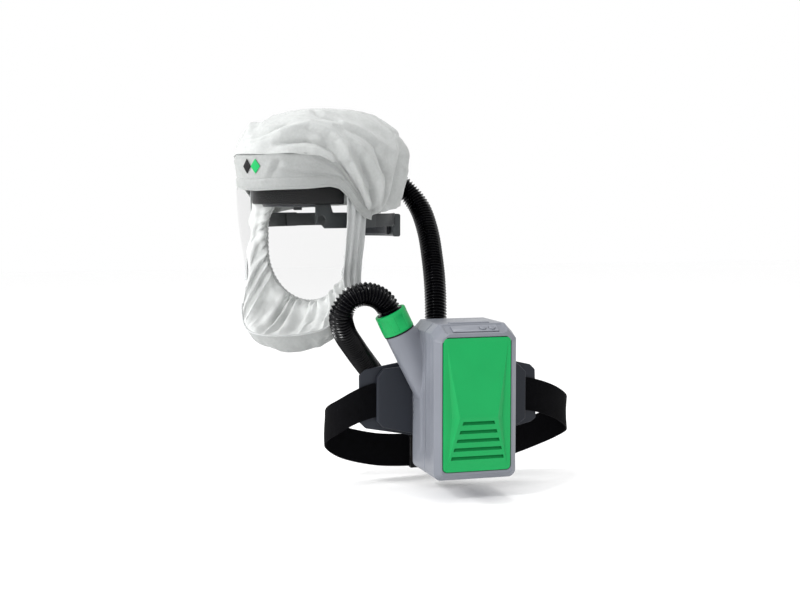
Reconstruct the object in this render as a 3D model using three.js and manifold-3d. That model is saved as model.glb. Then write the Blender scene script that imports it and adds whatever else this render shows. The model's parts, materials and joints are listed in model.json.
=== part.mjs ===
// A powered air respirator: a belt-worn blower and filter unit, a corrugated breathing hose
// and a loose hood with a clear visor and a ratchet headband.
// Millimetres. +X is to the right as the unit's cover is faced, +Y is towards the wearer's
// back and +Z is up. The origin is the middle of the lumbar pad's wearer side.
import * as THREE from 'three';
import { mergeVertices } from 'three/addons/utils/BufferGeometryUtils.js';
import Module from 'manifold-3d';

const wasm = await Module();
wasm.setup();

// ---- driving dimensions -------------------------------------------------------------
const GAP = 0.3;                  // left between pieces that touch
const UNIT_HALF_WIDTH = 62;
const UNIT_FRONT = -143;          // Y of the front face
const UNIT_BACK = -30;            // Y of the rear face
const UNIT_SEAM = -92;            // Y where the two housings meet
const UNIT_BASE = -107;
const UNIT_TOP = 115;
const EDGE_CHAMFER = 9;
const WALL = 3;
const COVER = { halfWidth: 51, low: -94, high: 97, back: -139.5, skin: -143.4, crest: -150.5 };
const FAN = { x: 4, z: 30, front: -88, back: -60, radius: 44 };
const BATTERY = { low: -98, high: -57, left: -38, front: -84, back: -41 };
const BEVEL_TILT = Math.atan2(12, 25);
const DUCT_AXIS = new THREE.Vector3(-0.439, 0, 0.899).normalize();
const COLLAR_FOOT = new THREE.Vector3(-89, -53, 99.5);
const COLLAR = { outer: 23.5, inner: 19, length: 33 };
const HOSE_RADIUS = 17.5;
const BELT = { width: 51, thickness: 2.5 };
const PLATE = { front: -17, back: -12.3 };
const PANEL = { front: -29.7, back: -22 };

// The hood has a frame of its own: +X is where the wearer looks, +Y their left, +Z up.
const HOOD_PLACE = new THREE.Vector3(-154.1, 95, 250.7);
const HOOD_HEADING = THREE.MathUtils.degToRad(-143.65);
const CROWN = { centre: 26.5, length: 160, width: 118, waist: 95, rise: 83, cloth: 2.5 };
const VISOR = { centre: 53, length: 132, width: 96, high: 50, side: -76, chin: -162 };
const RING = { centre: 5, length: 130, width: 82 };
const OPENING = { forward: 55, width: 82, height: 83, middle: -30, top: -8 };
const INLET = new THREE.Vector3(-116, 0, 98);
const INLET_OUT = new THREE.Vector3(-Math.cos(Math.PI / 6), 0, -Math.sin(Math.PI / 6));
const INLET_RADIUS = 22;

// The hose route, chosen by hand: up out of the collar, over in a loop, down behind the
// back plate, round under the hip and up to the back of the hood.
const HOSE_ROUTE = [
  [-114, -54.5, 145], [-127, -56.5, 153], [-144, -58, 156], [-164, -58, 149], [-176, -53, 128],
  [-169, -38, 103], [-142, -4, 69], [-109, 29, 32], [-78, 46, -7], [-48, 52, -30],
  [-22, 54, -27], [-5, 56, -2], [2, 60, 33], [6, 68, 72], [10, 78, 104], [16, 101, 156],
  [20, 128, 199], [21, 156, 242], [14, 181, 280], [-6, 194, 309],
].map((p) => new THREE.Vector3(...p));

const BELT_LEFT_ROUTE = [
  [-65, -19.5, -3], [-90, -19.5, -3], [-116, -20, -5], [-143, -19.5, -13], [-168, -4, -30],
  [-180, 22, -45], [-178, 42, -58], [-164, 56, -72], [-140, 63, -84], [-92, 66.5, -96],
  [-62, 67, -99], [-37, 67, -100],
];
const BELT_RIGHT_ROUTE = [
  [65, -19.5, -4], [92, -19.5, -4], [120, -20, -5], [150, -17, -12], [181, -4, -25],
  [204, 14, -40], [212, 34, -52], [205, 50, -63], [186, 58, -73], [150, 62, -86],
  [105, 60, -97], [75, 58.5, -100], [45, 58.5, -100], [12, 58.5, -100],
];

// ---- materials ----------------------------------------------------------------------
const COLOURS = {
  grey: [0x858c96, 0.45], green: [0x2fb463, 0.4], slate: [0x2b2f38, 0.6], belt: [0x1f2025, 0.9],
  rubber: [0x08090c, 0.5], cloth: [0xccced0, 0.85], clear: [0xe2e4e4, 0.1], black: [0x1c1c1e, 0.5],
  band: [0x2f3335, 0.5], ratchet: [0x464a4b, 0.45], paper: [0xe6e4da, 0.9], copper: [0x9a6a3c, 0.4],
  board: [0x1d5a34, 0.6], steel: [0x9da1a6, 0.3], foam: [0x3a3d42, 0.95],
};

function material(name) {
  const [color, roughness] = COLOURS[name];
  return new THREE.MeshStandardMaterial({ color, roughness, metalness: name === 'steel' ? 1 : 0 });
}

// ---- solids -------------------------------------------------------------------------
function merged(geometry) {
  const bare = new THREE.BufferGeometry();
  bare.setAttribute('position', geometry.getAttribute('position').clone());
  if (geometry.index) bare.setIndex(geometry.index.clone());
  const joined = mergeVertices(bare, 1e-3);
  const corners = joined.index.array;
  const kept = [];
  for (let i = 0; i < corners.length; i += 3) {
    const [a, b, c] = [corners[i], corners[i + 1], corners[i + 2]];
    if (a !== b && b !== c && a !== c) kept.push(a, b, c);
  }
  joined.setIndex(kept);
  return joined;
}

function toSolid(geometry) {
  const joined = merged(geometry);
  const mesh = new wasm.Mesh({
    numProp: 3,
    vertProperties: new Float32Array(joined.getAttribute('position').array),
    triVerts: new Uint32Array(joined.index.array),
  });
  return new wasm.Manifold(mesh);
}

function toGeometry(solid) {
  const mesh = solid.getMesh();
  const geometry = new THREE.BufferGeometry();
  geometry.setAttribute('position', new THREE.BufferAttribute(new Float32Array(mesh.vertProperties), 3));
  geometry.setIndex([...mesh.triVerts]);
  return geometry;
}

function cut(base, ...tools) {
  return toGeometry(tools.reduce((solid, tool) => solid.subtract(toSolid(tool)), toSolid(base)));
}

function join(...pieces) {
  const solids = pieces.map(toSolid);
  return toGeometry(solids.reduce((all, solid) => all.add(solid)));
}

function keep(base, tool) {
  return toGeometry(toSolid(base).intersect(toSolid(tool)));
}

// ---- basic shapes -------------------------------------------------------------------
function box(x, y, z) {
  const size = [x[1] - x[0], y[1] - y[0], z[1] - z[0]];
  const geometry = new THREE.BoxGeometry(...size);
  return geometry.translate((x[0] + x[1]) / 2, (y[0] + y[1]) / 2, (z[0] + z[1]) / 2);
}

// A round bar or tube that starts at a point and runs along a direction.
function pipe(start, direction, length, outer, inner = 0, sides = 24) {
  const profile = inner > 0
    ? [[inner, 0], [outer, 0], [outer, length], [inner, length], [inner, 0]]
    : [[0, 0], [outer, 0], [outer, length], [0, length]];
  const geometry = new THREE.LatheGeometry(profile.map((p) => new THREE.Vector2(...p)), sides);
  const turn = new THREE.Quaternion().setFromUnitVectors(new THREE.Vector3(0, 1, 0), direction);
  return geometry.applyQuaternion(turn).translate(start.x, start.y, start.z);
}

const ALONG_Y = new THREE.Vector3(0, 1, 0);

function barY(x, z, front, back, outer, inner = 0, sides = 24) {
  return pipe(new THREE.Vector3(x, front, z), ALONG_Y, back - front, outer, inner, sides);
}

// An outline in X and Z, given depth along Y.
function slab(outline, front, back, bevel = 0) {
  const shape = Array.isArray(outline) ? new THREE.Shape(outline.map((p) => new THREE.Vector2(...p))) : outline;
  const geometry = new THREE.ExtrudeGeometry(shape, {
    depth: back - front - 2 * bevel, bevelEnabled: bevel > 0, bevelThickness: bevel,
    bevelSize: bevel, bevelOffset: -bevel, bevelSegments: 1, curveSegments: 4,
  });
  return geometry.translate(0, 0, bevel).rotateX(Math.PI / 2).translate(0, back, 0);
}

// An outline in Y and Z, given width along X.
function sideSlab(outline, left, right) {
  const shape = new THREE.Shape(outline.map((p) => new THREE.Vector2(...p)));
  const geometry = new THREE.ExtrudeGeometry(shape, { depth: right - left, bevelEnabled: false });
  const turn = new THREE.Matrix4().makeBasis(
    new THREE.Vector3(0, 1, 0), new THREE.Vector3(0, 0, 1), new THREE.Vector3(1, 0, 0));
  return geometry.applyMatrix4(turn).translate(left, 0, 0);
}

function roundedOutline(left, right, low, high, radius) {
  const shape = new THREE.Shape();
  const quarter = Math.PI / 2;
  shape.absarc(right - radius, high - radius, radius, 0, quarter);
  shape.absarc(left + radius, high - radius, radius, quarter, 2 * quarter);
  shape.absarc(left + radius, low + radius, radius, 2 * quarter, 3 * quarter);
  shape.absarc(right - radius, low + radius, radius, 3 * quarter, 4 * quarter);
  return shape;
}

// A closed solid between two grids of points. A looped grid joins its last column to its first.
function between(front, back, columns, rows, loop) {
  const across = loop ? columns : columns + 1;
  const points = [];
  for (const side of [front, back]) {
    for (let i = 0; i < across; i += 1) {
      for (let j = 0; j <= rows; j += 1) points.push(side(i / columns, j / rows));
    }
  }
  const at = (side, i, j) => side * across * (rows + 1) + (i % across) * (rows + 1) + j;
  const faces = [];
  const quad = (a, b, c, d) => faces.push(a, b, c, a, c, d);
  for (let i = 0; i < columns; i += 1) {
    for (let j = 0; j < rows; j += 1) {
      quad(at(0, i, j), at(0, i + 1, j), at(0, i + 1, j + 1), at(0, i, j + 1));
      quad(at(1, i, j), at(1, i, j + 1), at(1, i + 1, j + 1), at(1, i + 1, j));
    }
    quad(at(0, i, 0), at(1, i, 0), at(1, i + 1, 0), at(0, i + 1, 0));
    quad(at(0, i, rows), at(0, i + 1, rows), at(1, i + 1, rows), at(1, i, rows));
  }
  for (let j = 0; j < rows && !loop; j += 1) {
    quad(at(0, 0, j), at(0, 0, j + 1), at(1, 0, j + 1), at(1, 0, j));
    quad(at(0, columns, j), at(1, columns, j), at(1, columns, j + 1), at(0, columns, j + 1));
  }
  return facingOut(points, faces);
}

function facingOut(points, faces) {
  const geometry = new THREE.BufferGeometry().setFromPoints(points);
  let volume = 0;
  for (let i = 0; i < faces.length; i += 3) {
    const [a, b, c] = [points[faces[i]], points[faces[i + 1]], points[faces[i + 2]]];
    volume += a.dot(new THREE.Vector3().crossVectors(b, c));
  }
  geometry.setIndex(volume > 0 ? faces : faces.reverse());
  return merged(geometry);
}

// A sheet of even thickness that follows a surface.
function sheet(surface, thickness, columns, rows) {
  const step = 1e-3;
  const offset = (s, t, distance) => {
    const along = surface(Math.min(s + step, 1), t).sub(surface(Math.max(s - step, 0), t));
    const up = surface(s, Math.min(t + step, 1)).sub(surface(s, Math.max(t - step, 0)));
    return surface(s, t).addScaledVector(along.cross(up).normalize(), distance);
  };
  const half = thickness / 2;
  return between((s, t) => offset(s, t, half), (s, t) => offset(s, t, -half), columns, rows, false);
}

// A standing band that follows a route of [x, y, middle height] points.
function ribbon(route, thickness, width, columns) {
  const curve = new THREE.CatmullRomCurve3(route.map((p) => new THREE.Vector3(...p)), false, 'centripetal');
  const surface = (s, t) => curve.getPointAt(s).add(new THREE.Vector3(0, 0, (t - 0.5) * width));
  return sheet(surface, thickness, columns, 1);
}

function rod(route, radius, sides, steps) {
  const section = new THREE.Shape();
  for (let i = 0; i < sides; i += 1) {
    const angle = (2 * Math.PI * i) / sides;
    const corner = [radius * Math.cos(angle), radius * Math.sin(angle)];
    if (i === 0) section.moveTo(...corner);
    else section.lineTo(...corner);
  }
  section.closePath();
  const extrudePath = new THREE.CatmullRomCurve3(route, false, 'centripetal');
  return new THREE.ExtrudeGeometry(section, { steps, bevelEnabled: false, extrudePath });
}

const whole = new THREE.Group();
const hood = new THREE.Group();
hood.position.copy(HOOD_PLACE);
hood.rotation.z = HOOD_HEADING;
whole.add(hood);

function add(name, geometry, colour, parent = whole) {
  const mesh = new THREE.Mesh(merged(geometry), material(colour));
  mesh.name = name;
  parent.add(mesh);
  return mesh;
}

// ---- blower unit --------------------------------------------------------------------
function unitOutline(inset) {
  const side = UNIT_HALF_WIDTH - inset;
  const corner = Math.max(11 - inset, 8);
  const shape = new THREE.Shape();
  shape.moveTo(side, UNIT_TOP - 14 - inset / 2);
  shape.lineTo(side - 12.5, UNIT_TOP - inset);
  shape.lineTo(-side + 12.5, UNIT_TOP - inset);
  shape.lineTo(-side, UNIT_TOP - 14 - inset / 2);
  shape.absarc(-side + corner, UNIT_BASE + inset + corner, corner, Math.PI, 1.5 * Math.PI);
  shape.absarc(side - corner, UNIT_BASE + inset + corner, corner, 1.5 * Math.PI, 2 * Math.PI);
  return shape;
}

function unitBody() {
  const spare = 20;
  const body = slab(unitOutline(0), UNIT_FRONT, UNIT_BACK + spare, EDGE_CHAMFER);
  const behind = box([-90, 90], [UNIT_BACK, 0], [-150, 150]);
  const slope = sideSlab([[-150, 99.64], [-118, UNIT_TOP], [-118, 140], [-150, 140]], -90, 90);
  const lip = box([-34, 28], [-116, -107], [UNIT_TOP - 1, UNIT_TOP + 2]);
  return join(cut(body, behind, slope), lip);
}

function onBevel(geometry) {
  return geometry.rotateX(BEVEL_TILT).translate(0, -130.5, 109);
}

const BUTTONS = [{ name: 'power_button', x: 26 }, { name: 'speed_button', x: 12 }];

function makeFrontHousing() {
  const half = box([-90, 90], [-160, UNIT_SEAM - GAP / 2], [-150, 150]);
  const hollow = slab(roundedOutline(-59, 59, -104, 98, 6), -133, UNIT_SEAM + 5);
  const mouth = slab(roundedOutline(-51.5, 51.5, -94.5, 97.5, 6), -150, -130);
  const pocket = onBevel(box([-35, 35], [-9, 9], [-1.5, 5]));
  const wells = BUTTONS.map(({ x }) => onBevel(pipe(new THREE.Vector3(x, 0, -6.5),
    new THREE.Vector3(0, 0, 1), 12, 5.6, 0, 16)));
  add('front_housing', cut(keep(unitBody(), half), hollow, mouth, pocket, ...wells), 'grey');
}

function ductFairing() {
  const web = [[-70.5, 107], [-46, 113], [-46, 0], [-57, -8], [-70, 18], [-90, 62]];
  return slab(web, COLLAR_FOOT.y - 15, COLLAR_FOOT.y + 15);
}

function ductPipe(radius, from, to) {
  const start = COLLAR_FOOT.clone().addScaledVector(DUCT_AXIS, -from);
  return pipe(start, DUCT_AXIS, from + to, radius);
}

const SCREWS = [[-52, -96], [52, -96], [-46, 98], [46, 98]];

function makeRearHousing() {
  const half = box([-90, 90], [UNIT_SEAM + GAP / 2, 0], [-150, 150]);
  const shell = cut(keep(unitBody(), half), slab(unitOutline(WALL), UNIT_SEAM - 5, UNIT_BACK - WALL));
  const outside = join(ductPipe(22, 95, -1.6), ductPipe(16.6, 95, 15), ductFairing());
  const duct = cut(outside, box([-58.5, 70], [-100, 0], [-150, 150]));
  const bosses = SCREWS.map(([x, z]) => barY(x, z, -39, UNIT_BACK - 1, 5.5, 0, 16));
  const holes = SCREWS.map(([x, z]) => barY(x, z, -45, UNIT_BACK + 1, 2.3, 0, 12));
  const sinks = SCREWS.map(([x, z]) => barY(x, z, UNIT_BACK - 2.2, UNIT_BACK + 1, 4.3, 0, 16));
  const bore = ductPipe(13.6, 100, 20);
  const window = box([54.5, 70], [BATTERY.front - 0.5, BATTERY.back + 0.5], [BATTERY.low - 0.5, BATTERY.high + 0.5]);
  const latchHole = box([54.5, 70], [-71, -54], [-52.5, -43.5]);
  add('rear_housing', cut(join(shell, duct, ...bosses), ...holes, ...sinks, bore, window, latchHole), 'grey');
}

function makeScrews() {
  SCREWS.forEach(([x, z], index) => {
    const head = barY(x, z, UNIT_BACK - 1.9, UNIT_BACK - 0.3, 4, 0, 12);
    const shank = barY(x, z, UNIT_BACK - 8, UNIT_BACK - 1.5, 2, 0, 8);
    add(`housing_screw_${index + 1}`, join(head, shank), 'steel');
  });
}

// The cover's middle is two planes that meet in a raised waist, pierced by five air slots.
function makeFilterCover() {
  const { halfWidth, low, high, back, skin, crest } = COVER;
  const plate = slab(roundedOutline(-halfWidth, halfWidth, low, high, 6), skin, back);
  const foot = [[46, 90], [38, -16], [45, -88], [-45, -88], [-38, -16], [-46, 90]];
  const points = foot.map(([x, z]) => new THREE.Vector3(x, skin + 0.6, z));
  points.push(new THREE.Vector3(29, crest, -16), new THREE.Vector3(-29, crest, -16));
  const faces = [
    0, 7, 5, 0, 6, 7, 2, 3, 7, 2, 7, 6, 5, 7, 4, 4, 7, 3, 0, 1, 6, 1, 2, 6,
    0, 5, 4, 0, 4, 1, 1, 4, 3, 1, 3, 2,
  ];
  const raised = facingOut(points, faces);
  const slots = [];
  for (let i = 0; i < 5; i += 1) {
    const z = -24 - 12.6 * i;
    const half = 24 + 4 * i;
    slots.push(slab([[-half - 1, z - 2.4], [half + 1, z - 2.4], [half, z + 2.4], [-half, z + 2.4]], -160, -130));
  }
  const tray = slab(roundedOutline(-halfWidth + 4, halfWidth - 4, low + 4, high - 4, 4), -142, -138);
  add('filter_cover', cut(join(plate, raised), tray, ...slots), 'green');
}

function makeFilters() {
  add('prefilter', slab(roundedOutline(-45, 45, -89, 92, 4), -139.4, -135), 'paper');
  add('hepa_filter', slab(roundedOutline(-49, 49, -91, 93, 5), -134.6, -105), 'paper');
  const seal = slab(roundedOutline(-48, 48, -90, 92, 5), -104.6, -101);
  add('filter_seal', cut(seal, slab(roundedOutline(-42, 42, -84, 86, 4), -110, -95)), 'rubber');
  const seat = slab(roundedOutline(-58.5, 58.5, -103.5, 97.5, 6), -100.6, -97.5);
  add('filter_seat', cut(seat, barY(FAN.x, FAN.z, -110, -90, 21)), 'black');
}

function makeBlower() {
  const { x, z, front, back, radius } = FAN;
  const outer = join(barY(x, z, front, back, radius, 0, 32), box([-52, -8], [front, back], [45, 68]));
  const chamber = barY(x, z, front + 2.5, back - 2.5, radius - 3, 0, 32);
  const outlet = box([-66, -8], [front + 2.5, back - 2.5], [48, 65]);
  const inlet = barY(x, z, front - 5, front + 5, 20);
  const hub = barY(x, z, back - 5, back + 5, 6);
  add('blower_scroll', cut(outer, chamber, outlet, inlet, hub), 'black');

  const motor = barY(x, z, back + GAP, UNIT_BACK - WALL - 1, 17);
  add('motor', cut(motor, barY(x, z, back - 5, back + 9, 2.9, 0, 16)), 'steel');
  add('motor_shaft', barY(x, z, front + 6, back + 8.5, 2.4, 0, 16), 'steel');

  const disc = barY(x, z, back - 6, back - 4, 37, 0, 32);
  const core = barY(x, z, front + 7, back - 4, 8, 0, 24);
  const blades = [];
  for (let i = 0; i < 16; i += 1) {
    const blade = box([20, 36], [front + 7, back - 5], [-0.7, 0.7]).translate(0, 0, 6);
    blades.push(blade.rotateY((2 * Math.PI * i) / 16).translate(x, 0, z));
  }
  add('impeller', cut(join(disc, core, ...blades), barY(x, z, front, back, 2.7, 0, 16)), 'black');
}

function makeElectrics() {
  const board = box([-46, 46], [-86, -42], [-30, -28.4]);
  const parts = [[-34, -74, 9], [-16, -60, 6], [6, -72, 4], [26, -56, 8]].map(([x, y, tall]) => (
    box([x - 6, x + 6], [y - 5, y + 5], [-28.6, -28.4 + tall])));
  add('circuit_board', join(board, ...parts), 'board');

  const glass = box([-34.5, 34.5], [-8.5, 8.5], [-1.2, 0.6]);
  const holes = BUTTONS.map(({ x }) => pipe(new THREE.Vector3(x, 0, -5), new THREE.Vector3(0, 0, 1), 12, 5.4, 0, 16));
  add('control_panel', onBevel(cut(glass, ...holes)), 'grey');
  for (const { name, x } of BUTTONS) {
    const button = pipe(new THREE.Vector3(x, 0, -4.5), new THREE.Vector3(0, 0, 1), 6.4, 5, 0, 16);
    add(name, onBevel(button), 'grey');
  }
}

function makeBattery() {
  const { low, high, left, front, back } = BATTERY;
  const cell = box([left, 56.5], [front, back], [low, high]);
  const cap = box([55.5, UNIT_HALF_WIDTH - 0.2], [front, back], [low, high]);
  const grip = box([58.5, 64.5], [-70, -55], [-96, -90]);
  add('battery_pack', cut(join(cell, cap), grip), 'slate');
  const plunger = box([56.5, UNIT_HALF_WIDTH + 2.6], [-70.5, -54.5], [-52, -44]);
  add('battery_latch', plunger, 'green');
}

// ---- outlet, hose -------------------------------------------------------------------
function makeCollar() {
  const foot = COLLAR_FOOT.clone();
  const ring = pipe(foot, DUCT_AXIS, COLLAR.length, COLLAR.outer, COLLAR.inner, 32);
  const ribs = [];
  for (let i = 0; i < 6; i += 1) {
    const rib = box([COLLAR.outer - 1.5, COLLAR.outer + 0.9], [3, COLLAR.length - 3], [-2.5, 2.5]);
    rib.rotateY((2 * Math.PI * i) / 6);
    const turn = new THREE.Quaternion().setFromUnitVectors(ALONG_Y, DUCT_AXIS);
    ribs.push(rib.applyQuaternion(turn).translate(foot.x, foot.y, foot.z));
  }
  add('hose_collar', join(ring, ...ribs), 'green');
  const below = foot.clone().addScaledVector(DUCT_AXIS, -1.3);
  add('outlet_seal', pipe(below, DUCT_AXIS, 1, 22.6, 17.2, 24), 'rubber');
}

function makeHose() {
  const neck = COLLAR_FOOT.clone().addScaledVector(DUCT_AXIS, 15.6);
  const mouth = neck.clone().addScaledVector(DUCT_AXIS, 17.8);
  const upright = mouth.clone().addScaledVector(DUCT_AXIS, 7);
  add('hose_cuff_unit', pipe(neck, DUCT_AXIS, 17.1, 18.4, 13.5, 24), 'rubber');
  const hoodEnd = hoodPoint(INLET.clone().addScaledVector(INLET_OUT, 42.4));
  const lead = hoodPoint(INLET.clone().addScaledVector(INLET_OUT, 56));
  const route = [mouth, upright, ...HOSE_ROUTE, lead, hoodEnd];
  add('breathing_hose', rod(route, HOSE_RADIUS, 10, 48), 'rubber');
}

function hoodPoint(point) {
  return point.clone().applyAxisAngle(new THREE.Vector3(0, 0, 1), HOOD_HEADING).add(HOOD_PLACE);
}

function makeHoodInlet() {
  const at = (distance) => INLET.clone().addScaledVector(INLET_OUT, distance);
  add('hood_inlet', pipe(at(-22), INLET_OUT, 40, INLET_RADIUS - 1, 17, 24), 'black', hood);
  const sleeve = pipe(at(18.4), INLET_OUT, 23.6, 20.5, 13.5, 24);
  add('hose_cuff_hood', join(sleeve, pipe(at(2), INLET_OUT, 18, 16.5, 13.5, 24)), 'rubber', hood);
}

// ---- belt and back plate ------------------------------------------------------------
function makePlates() {
  const plate = [[-140, 32], [-131, 40], [-105, 45], [-82, 49], [85, 50], [106, 45], [132, 39],
    [140, 31], [142, -44], [134, -50], [109, -56], [-60, -61], [-130, -48], [-140, -38]];
  add('back_plate', slab(plate.slice().reverse(), PLATE.front, PLATE.back), 'slate');
  const panel = [[-116, 30], [-106, 42], [-60, 46], [60, 46], [108, 42], [120, 30], [120, -42],
    [108, -51], [-60, -57], [-106, -46], [-116, -36]];
  add('belt_panel', slab(panel.slice().reverse(), PANEL.front, PANEL.back, 1.5), 'slate');
  add('mounting_bracket', slab(roundedOutline(-48, 48, -34, 34, 4), PANEL.back + GAP, PLATE.front - GAP), 'black');
  add('lumbar_pad', slab(roundedOutline(-122, 124, -46, 34, 16), PLATE.back + GAP, 0, 3), 'foam');
}

function makeBelts() {
  add('belt_left', ribbon(BELT_LEFT_ROUTE, BELT.thickness, BELT.width, 44), 'belt');
  add('belt_right', ribbon(BELT_RIGHT_ROUTE, BELT.thickness, BELT.width, 52), 'belt');
  const slider = (x, y, z) => cut(
    box([x - 5, x + 5], [y - 4.5, y + 4.5], [z - 29.5, z + 29.5]),
    box([x - 9, x + 9], [y - 2.1, y + 2.1], [z - 26.5, z + 26.5]));
  add('belt_slider', slider(78, 58.5, -100), 'black');
}

// A side-release buckle: the male half's strap runs in a tunnel behind its two prongs.
function makeBuckle() {
  const z = [-128, -72];
  const shell = box([-36, 2], [61.5, 73.5], z);
  const pocket = box([-22, 5], [63.5, 71.5], [-121, -79]);
  const slit = box([-40, -24], [65, 69], [-126.4, -73.6]);
  add('buckle_female', cut(shell, pocket, slit), 'black');
  const grip = box([8, 30], [55.5, 71], z);
  const tunnel = box([0, 40], [56.5, 60.5], [-126.2, -73.8]);
  const prongs = [-114, -86].map((height) => box([-16, 10], [65, 70], [height - 4, height + 4]));
  const bridge = box([3, 9], [61.5, 71], [-122, -78]);
  add('buckle_male', cut(join(grip, bridge, ...prongs), tunnel), 'black');
}

// ---- hood cloth ---------------------------------------------------------------------
const degrees = THREE.MathUtils.degToRad;

// Height of the crown's hem, from the brow round past the temple to the nape.
function hemHeight(angle) {
  const turn = Math.abs(THREE.MathUtils.radToDeg(Math.atan2(Math.sin(angle), Math.cos(angle))));
  const stops = [[0, 87], [64, 87], [72, 56], [86, 8], [105, 14], [130, 24], [180, 30]];
  for (let i = 1; i < stops.length; i += 1) {
    if (turn <= stops[i][0]) {
      return THREE.MathUtils.mapLinear(turn, stops[i - 1][0], stops[i][0], stops[i - 1][1], stops[i][1]);
    }
  }
  return 30;
}

function crownPoint(s, t, inset) {
  const angle = 2 * Math.PI * s;
  const hem = hemHeight(angle);
  const split = 0.4;
  let reach = 1;
  let height = 0;
  if (t < split) {
    height = THREE.MathUtils.lerp(hem, CROWN.waist, t / split);
    reach = 1 - 0.13 * (Math.max(CROWN.waist - height, 0) / 90) ** 1.5;
  } else {
    const lift = ((t - split) / (1 - split)) * (Math.PI / 2);
    reach = Math.max(Math.cos(lift), 0) ** 0.75;
    height = CROWN.waist + (CROWN.rise - inset) * Math.sin(lift);
  }
  const x = CROWN.centre + (CROWN.length - inset) * reach * Math.cos(angle);
  return new THREE.Vector3(x, (CROWN.width - inset) * reach * Math.sin(angle), height);
}

function makeCrown() {
  const dome = between((s, t) => crownPoint(s, t, 0), (s, t) => crownPoint(s, t, CROWN.cloth), 40, 10, true);
  const port = pipe(INLET, INLET_OUT, 60, INLET_RADIUS, 0, 24);
  add('hood_crown', cut(dome, port), 'cloth', hood);
  const brow = (s, t) => {
    const angle = degrees(THREE.MathUtils.lerp(-62, 62, s));
    const x = CROWN.centre + (CROWN.length - 1.5) * Math.cos(angle);
    return new THREE.Vector3(x, (CROWN.width - 1.5) * Math.sin(angle), THREE.MathUtils.lerp(54, 86, t));
  };
  add('brow_band', sheet(brow, CROWN.cloth, 22, 1), 'cloth', hood);
}

// The visor narrows towards the chin.
function visorReach(height) {
  return 1 - 0.124 * ((VISOR.high - height) / (VISOR.high - VISOR.side)) ** 1.2;
}

function visorPoint(angle, height, inset = 0) {
  const reach = visorReach(height);
  const x = VISOR.centre + (VISOR.length - inset) * reach * Math.cos(angle);
  return new THREE.Vector3(x, (VISOR.width - inset) * reach * Math.sin(angle), height);
}

function visorFoot(angle) {
  return VISOR.side + (VISOR.chin - VISOR.side) * Math.cos(angle) ** 2;
}

function makeVisor() {
  const lens = (s, t) => {
    const angle = degrees(THREE.MathUtils.lerp(-79, 79, s));
    return visorPoint(angle, THREE.MathUtils.lerp(visorFoot(angle), VISOR.high, t));
  };
  add('visor_lens', sheet(lens, 1, 22, 5), 'clear', hood);
  for (const [name, side] of [['visor_edge_left', 1], ['visor_edge_right', -1]]) {
    const edge = (s, t) => {
      const angle = side * degrees(THREE.MathUtils.lerp(80, 96, s));
      return visorPoint(angle, THREE.MathUtils.lerp(VISOR.side - 6, VISOR.high, t));
    };
    add(name, sheet(edge, 2, 2, 5), 'cloth', hood);
  }
}

// Round the face opening: s runs from the left temple under the chin to the right temple.
const TEMPLE_SHARE = 0.12;

function openingEdge(s) {
  const { forward, width, height, middle, top } = OPENING;
  const fold = s > 0.5 ? -1 : 1;
  const share = Math.min(s, 1 - s) / TEMPLE_SHARE;
  if (share < 1) {
    return new THREE.Vector3(forward, fold * width, THREE.MathUtils.lerp(top, middle, share));
  }
  const sweep = (Math.PI * (s - TEMPLE_SHARE)) / (1 - 2 * TEMPLE_SHARE);
  return new THREE.Vector3(forward, width * Math.cos(sweep), middle - height * Math.sin(sweep));
}

function bibEdge(s) {
  const fold = s > 0.5 ? -1 : 1;
  const share = Math.min(s, 1 - s) / TEMPLE_SHARE;
  const start = degrees(86);
  if (share < 1) {
    const height = THREE.MathUtils.lerp(OPENING.top, VISOR.side - 18, share);
    const angle = fold * THREE.MathUtils.lerp(degrees(94), start, share);
    return visorPoint(angle, height, 7);
  }
  const angle = THREE.MathUtils.lerp(start, -start, (s - TEMPLE_SHARE) / (1 - 2 * TEMPLE_SHARE));
  const foot = visorFoot(angle);
  return visorPoint(angle, foot - 5 - 13 * Math.sin(Math.abs(angle)) ** 4, 2);
}

function pouchPoint(s, t) {
  const inner = openingEdge(s);
  const outer = bibEdge(s);
  const bottom = Math.sin(Math.PI * s) ** 3;
  const sag = new THREE.Vector3().addVectors(inner, outer).multiplyScalar(0.5);
  sag.x = THREE.MathUtils.lerp(sag.x, 63, bottom);
  sag.y *= 1 + 0.4 * bottom * (1 - bottom);
  sag.z -= 107 * bottom + 4;
  const near = inner.clone().multiplyScalar((1 - t) ** 2);
  return near.addScaledVector(sag, 2 * t * (1 - t)).addScaledVector(outer, t * t);
}

function makeFaceSeal() {
  add('face_seal', sheet((s, t) => pouchPoint(s, 0.16 + 0.4 * t), 2, 36, 4), 'cloth', hood);
  add('chin_bag', sheet((s, t) => pouchPoint(0.18 + 0.64 * s, 0.63 + 0.37 * t), 2, 32, 3), 'cloth', hood);
  const edge = [];
  for (let i = 0; i <= 24; i += 1) edge.push(openingEdge(i / 24).add(new THREE.Vector3(-8.4, 0, 0)));
  add('face_elastic', rod(edge, 2.2, 8, 36), 'cloth', hood);
}

// ---- headgear inside the hood -------------------------------------------------------
function ringPoint(turn, extra) {
  const angle = degrees(turn);
  const x = RING.centre + (RING.length + extra) * Math.cos(angle);
  return new THREE.Vector3(x, (RING.width + extra) * Math.sin(angle), 0);
}

function ringBand(from, to, low, high, extra, thickness, columns) {
  const surface = (s, t) => ringPoint(THREE.MathUtils.lerp(from, to, s), extra)
    .setZ(THREE.MathUtils.lerp(low, high, t));
  return sheet(surface, thickness, columns, 1);
}

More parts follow.
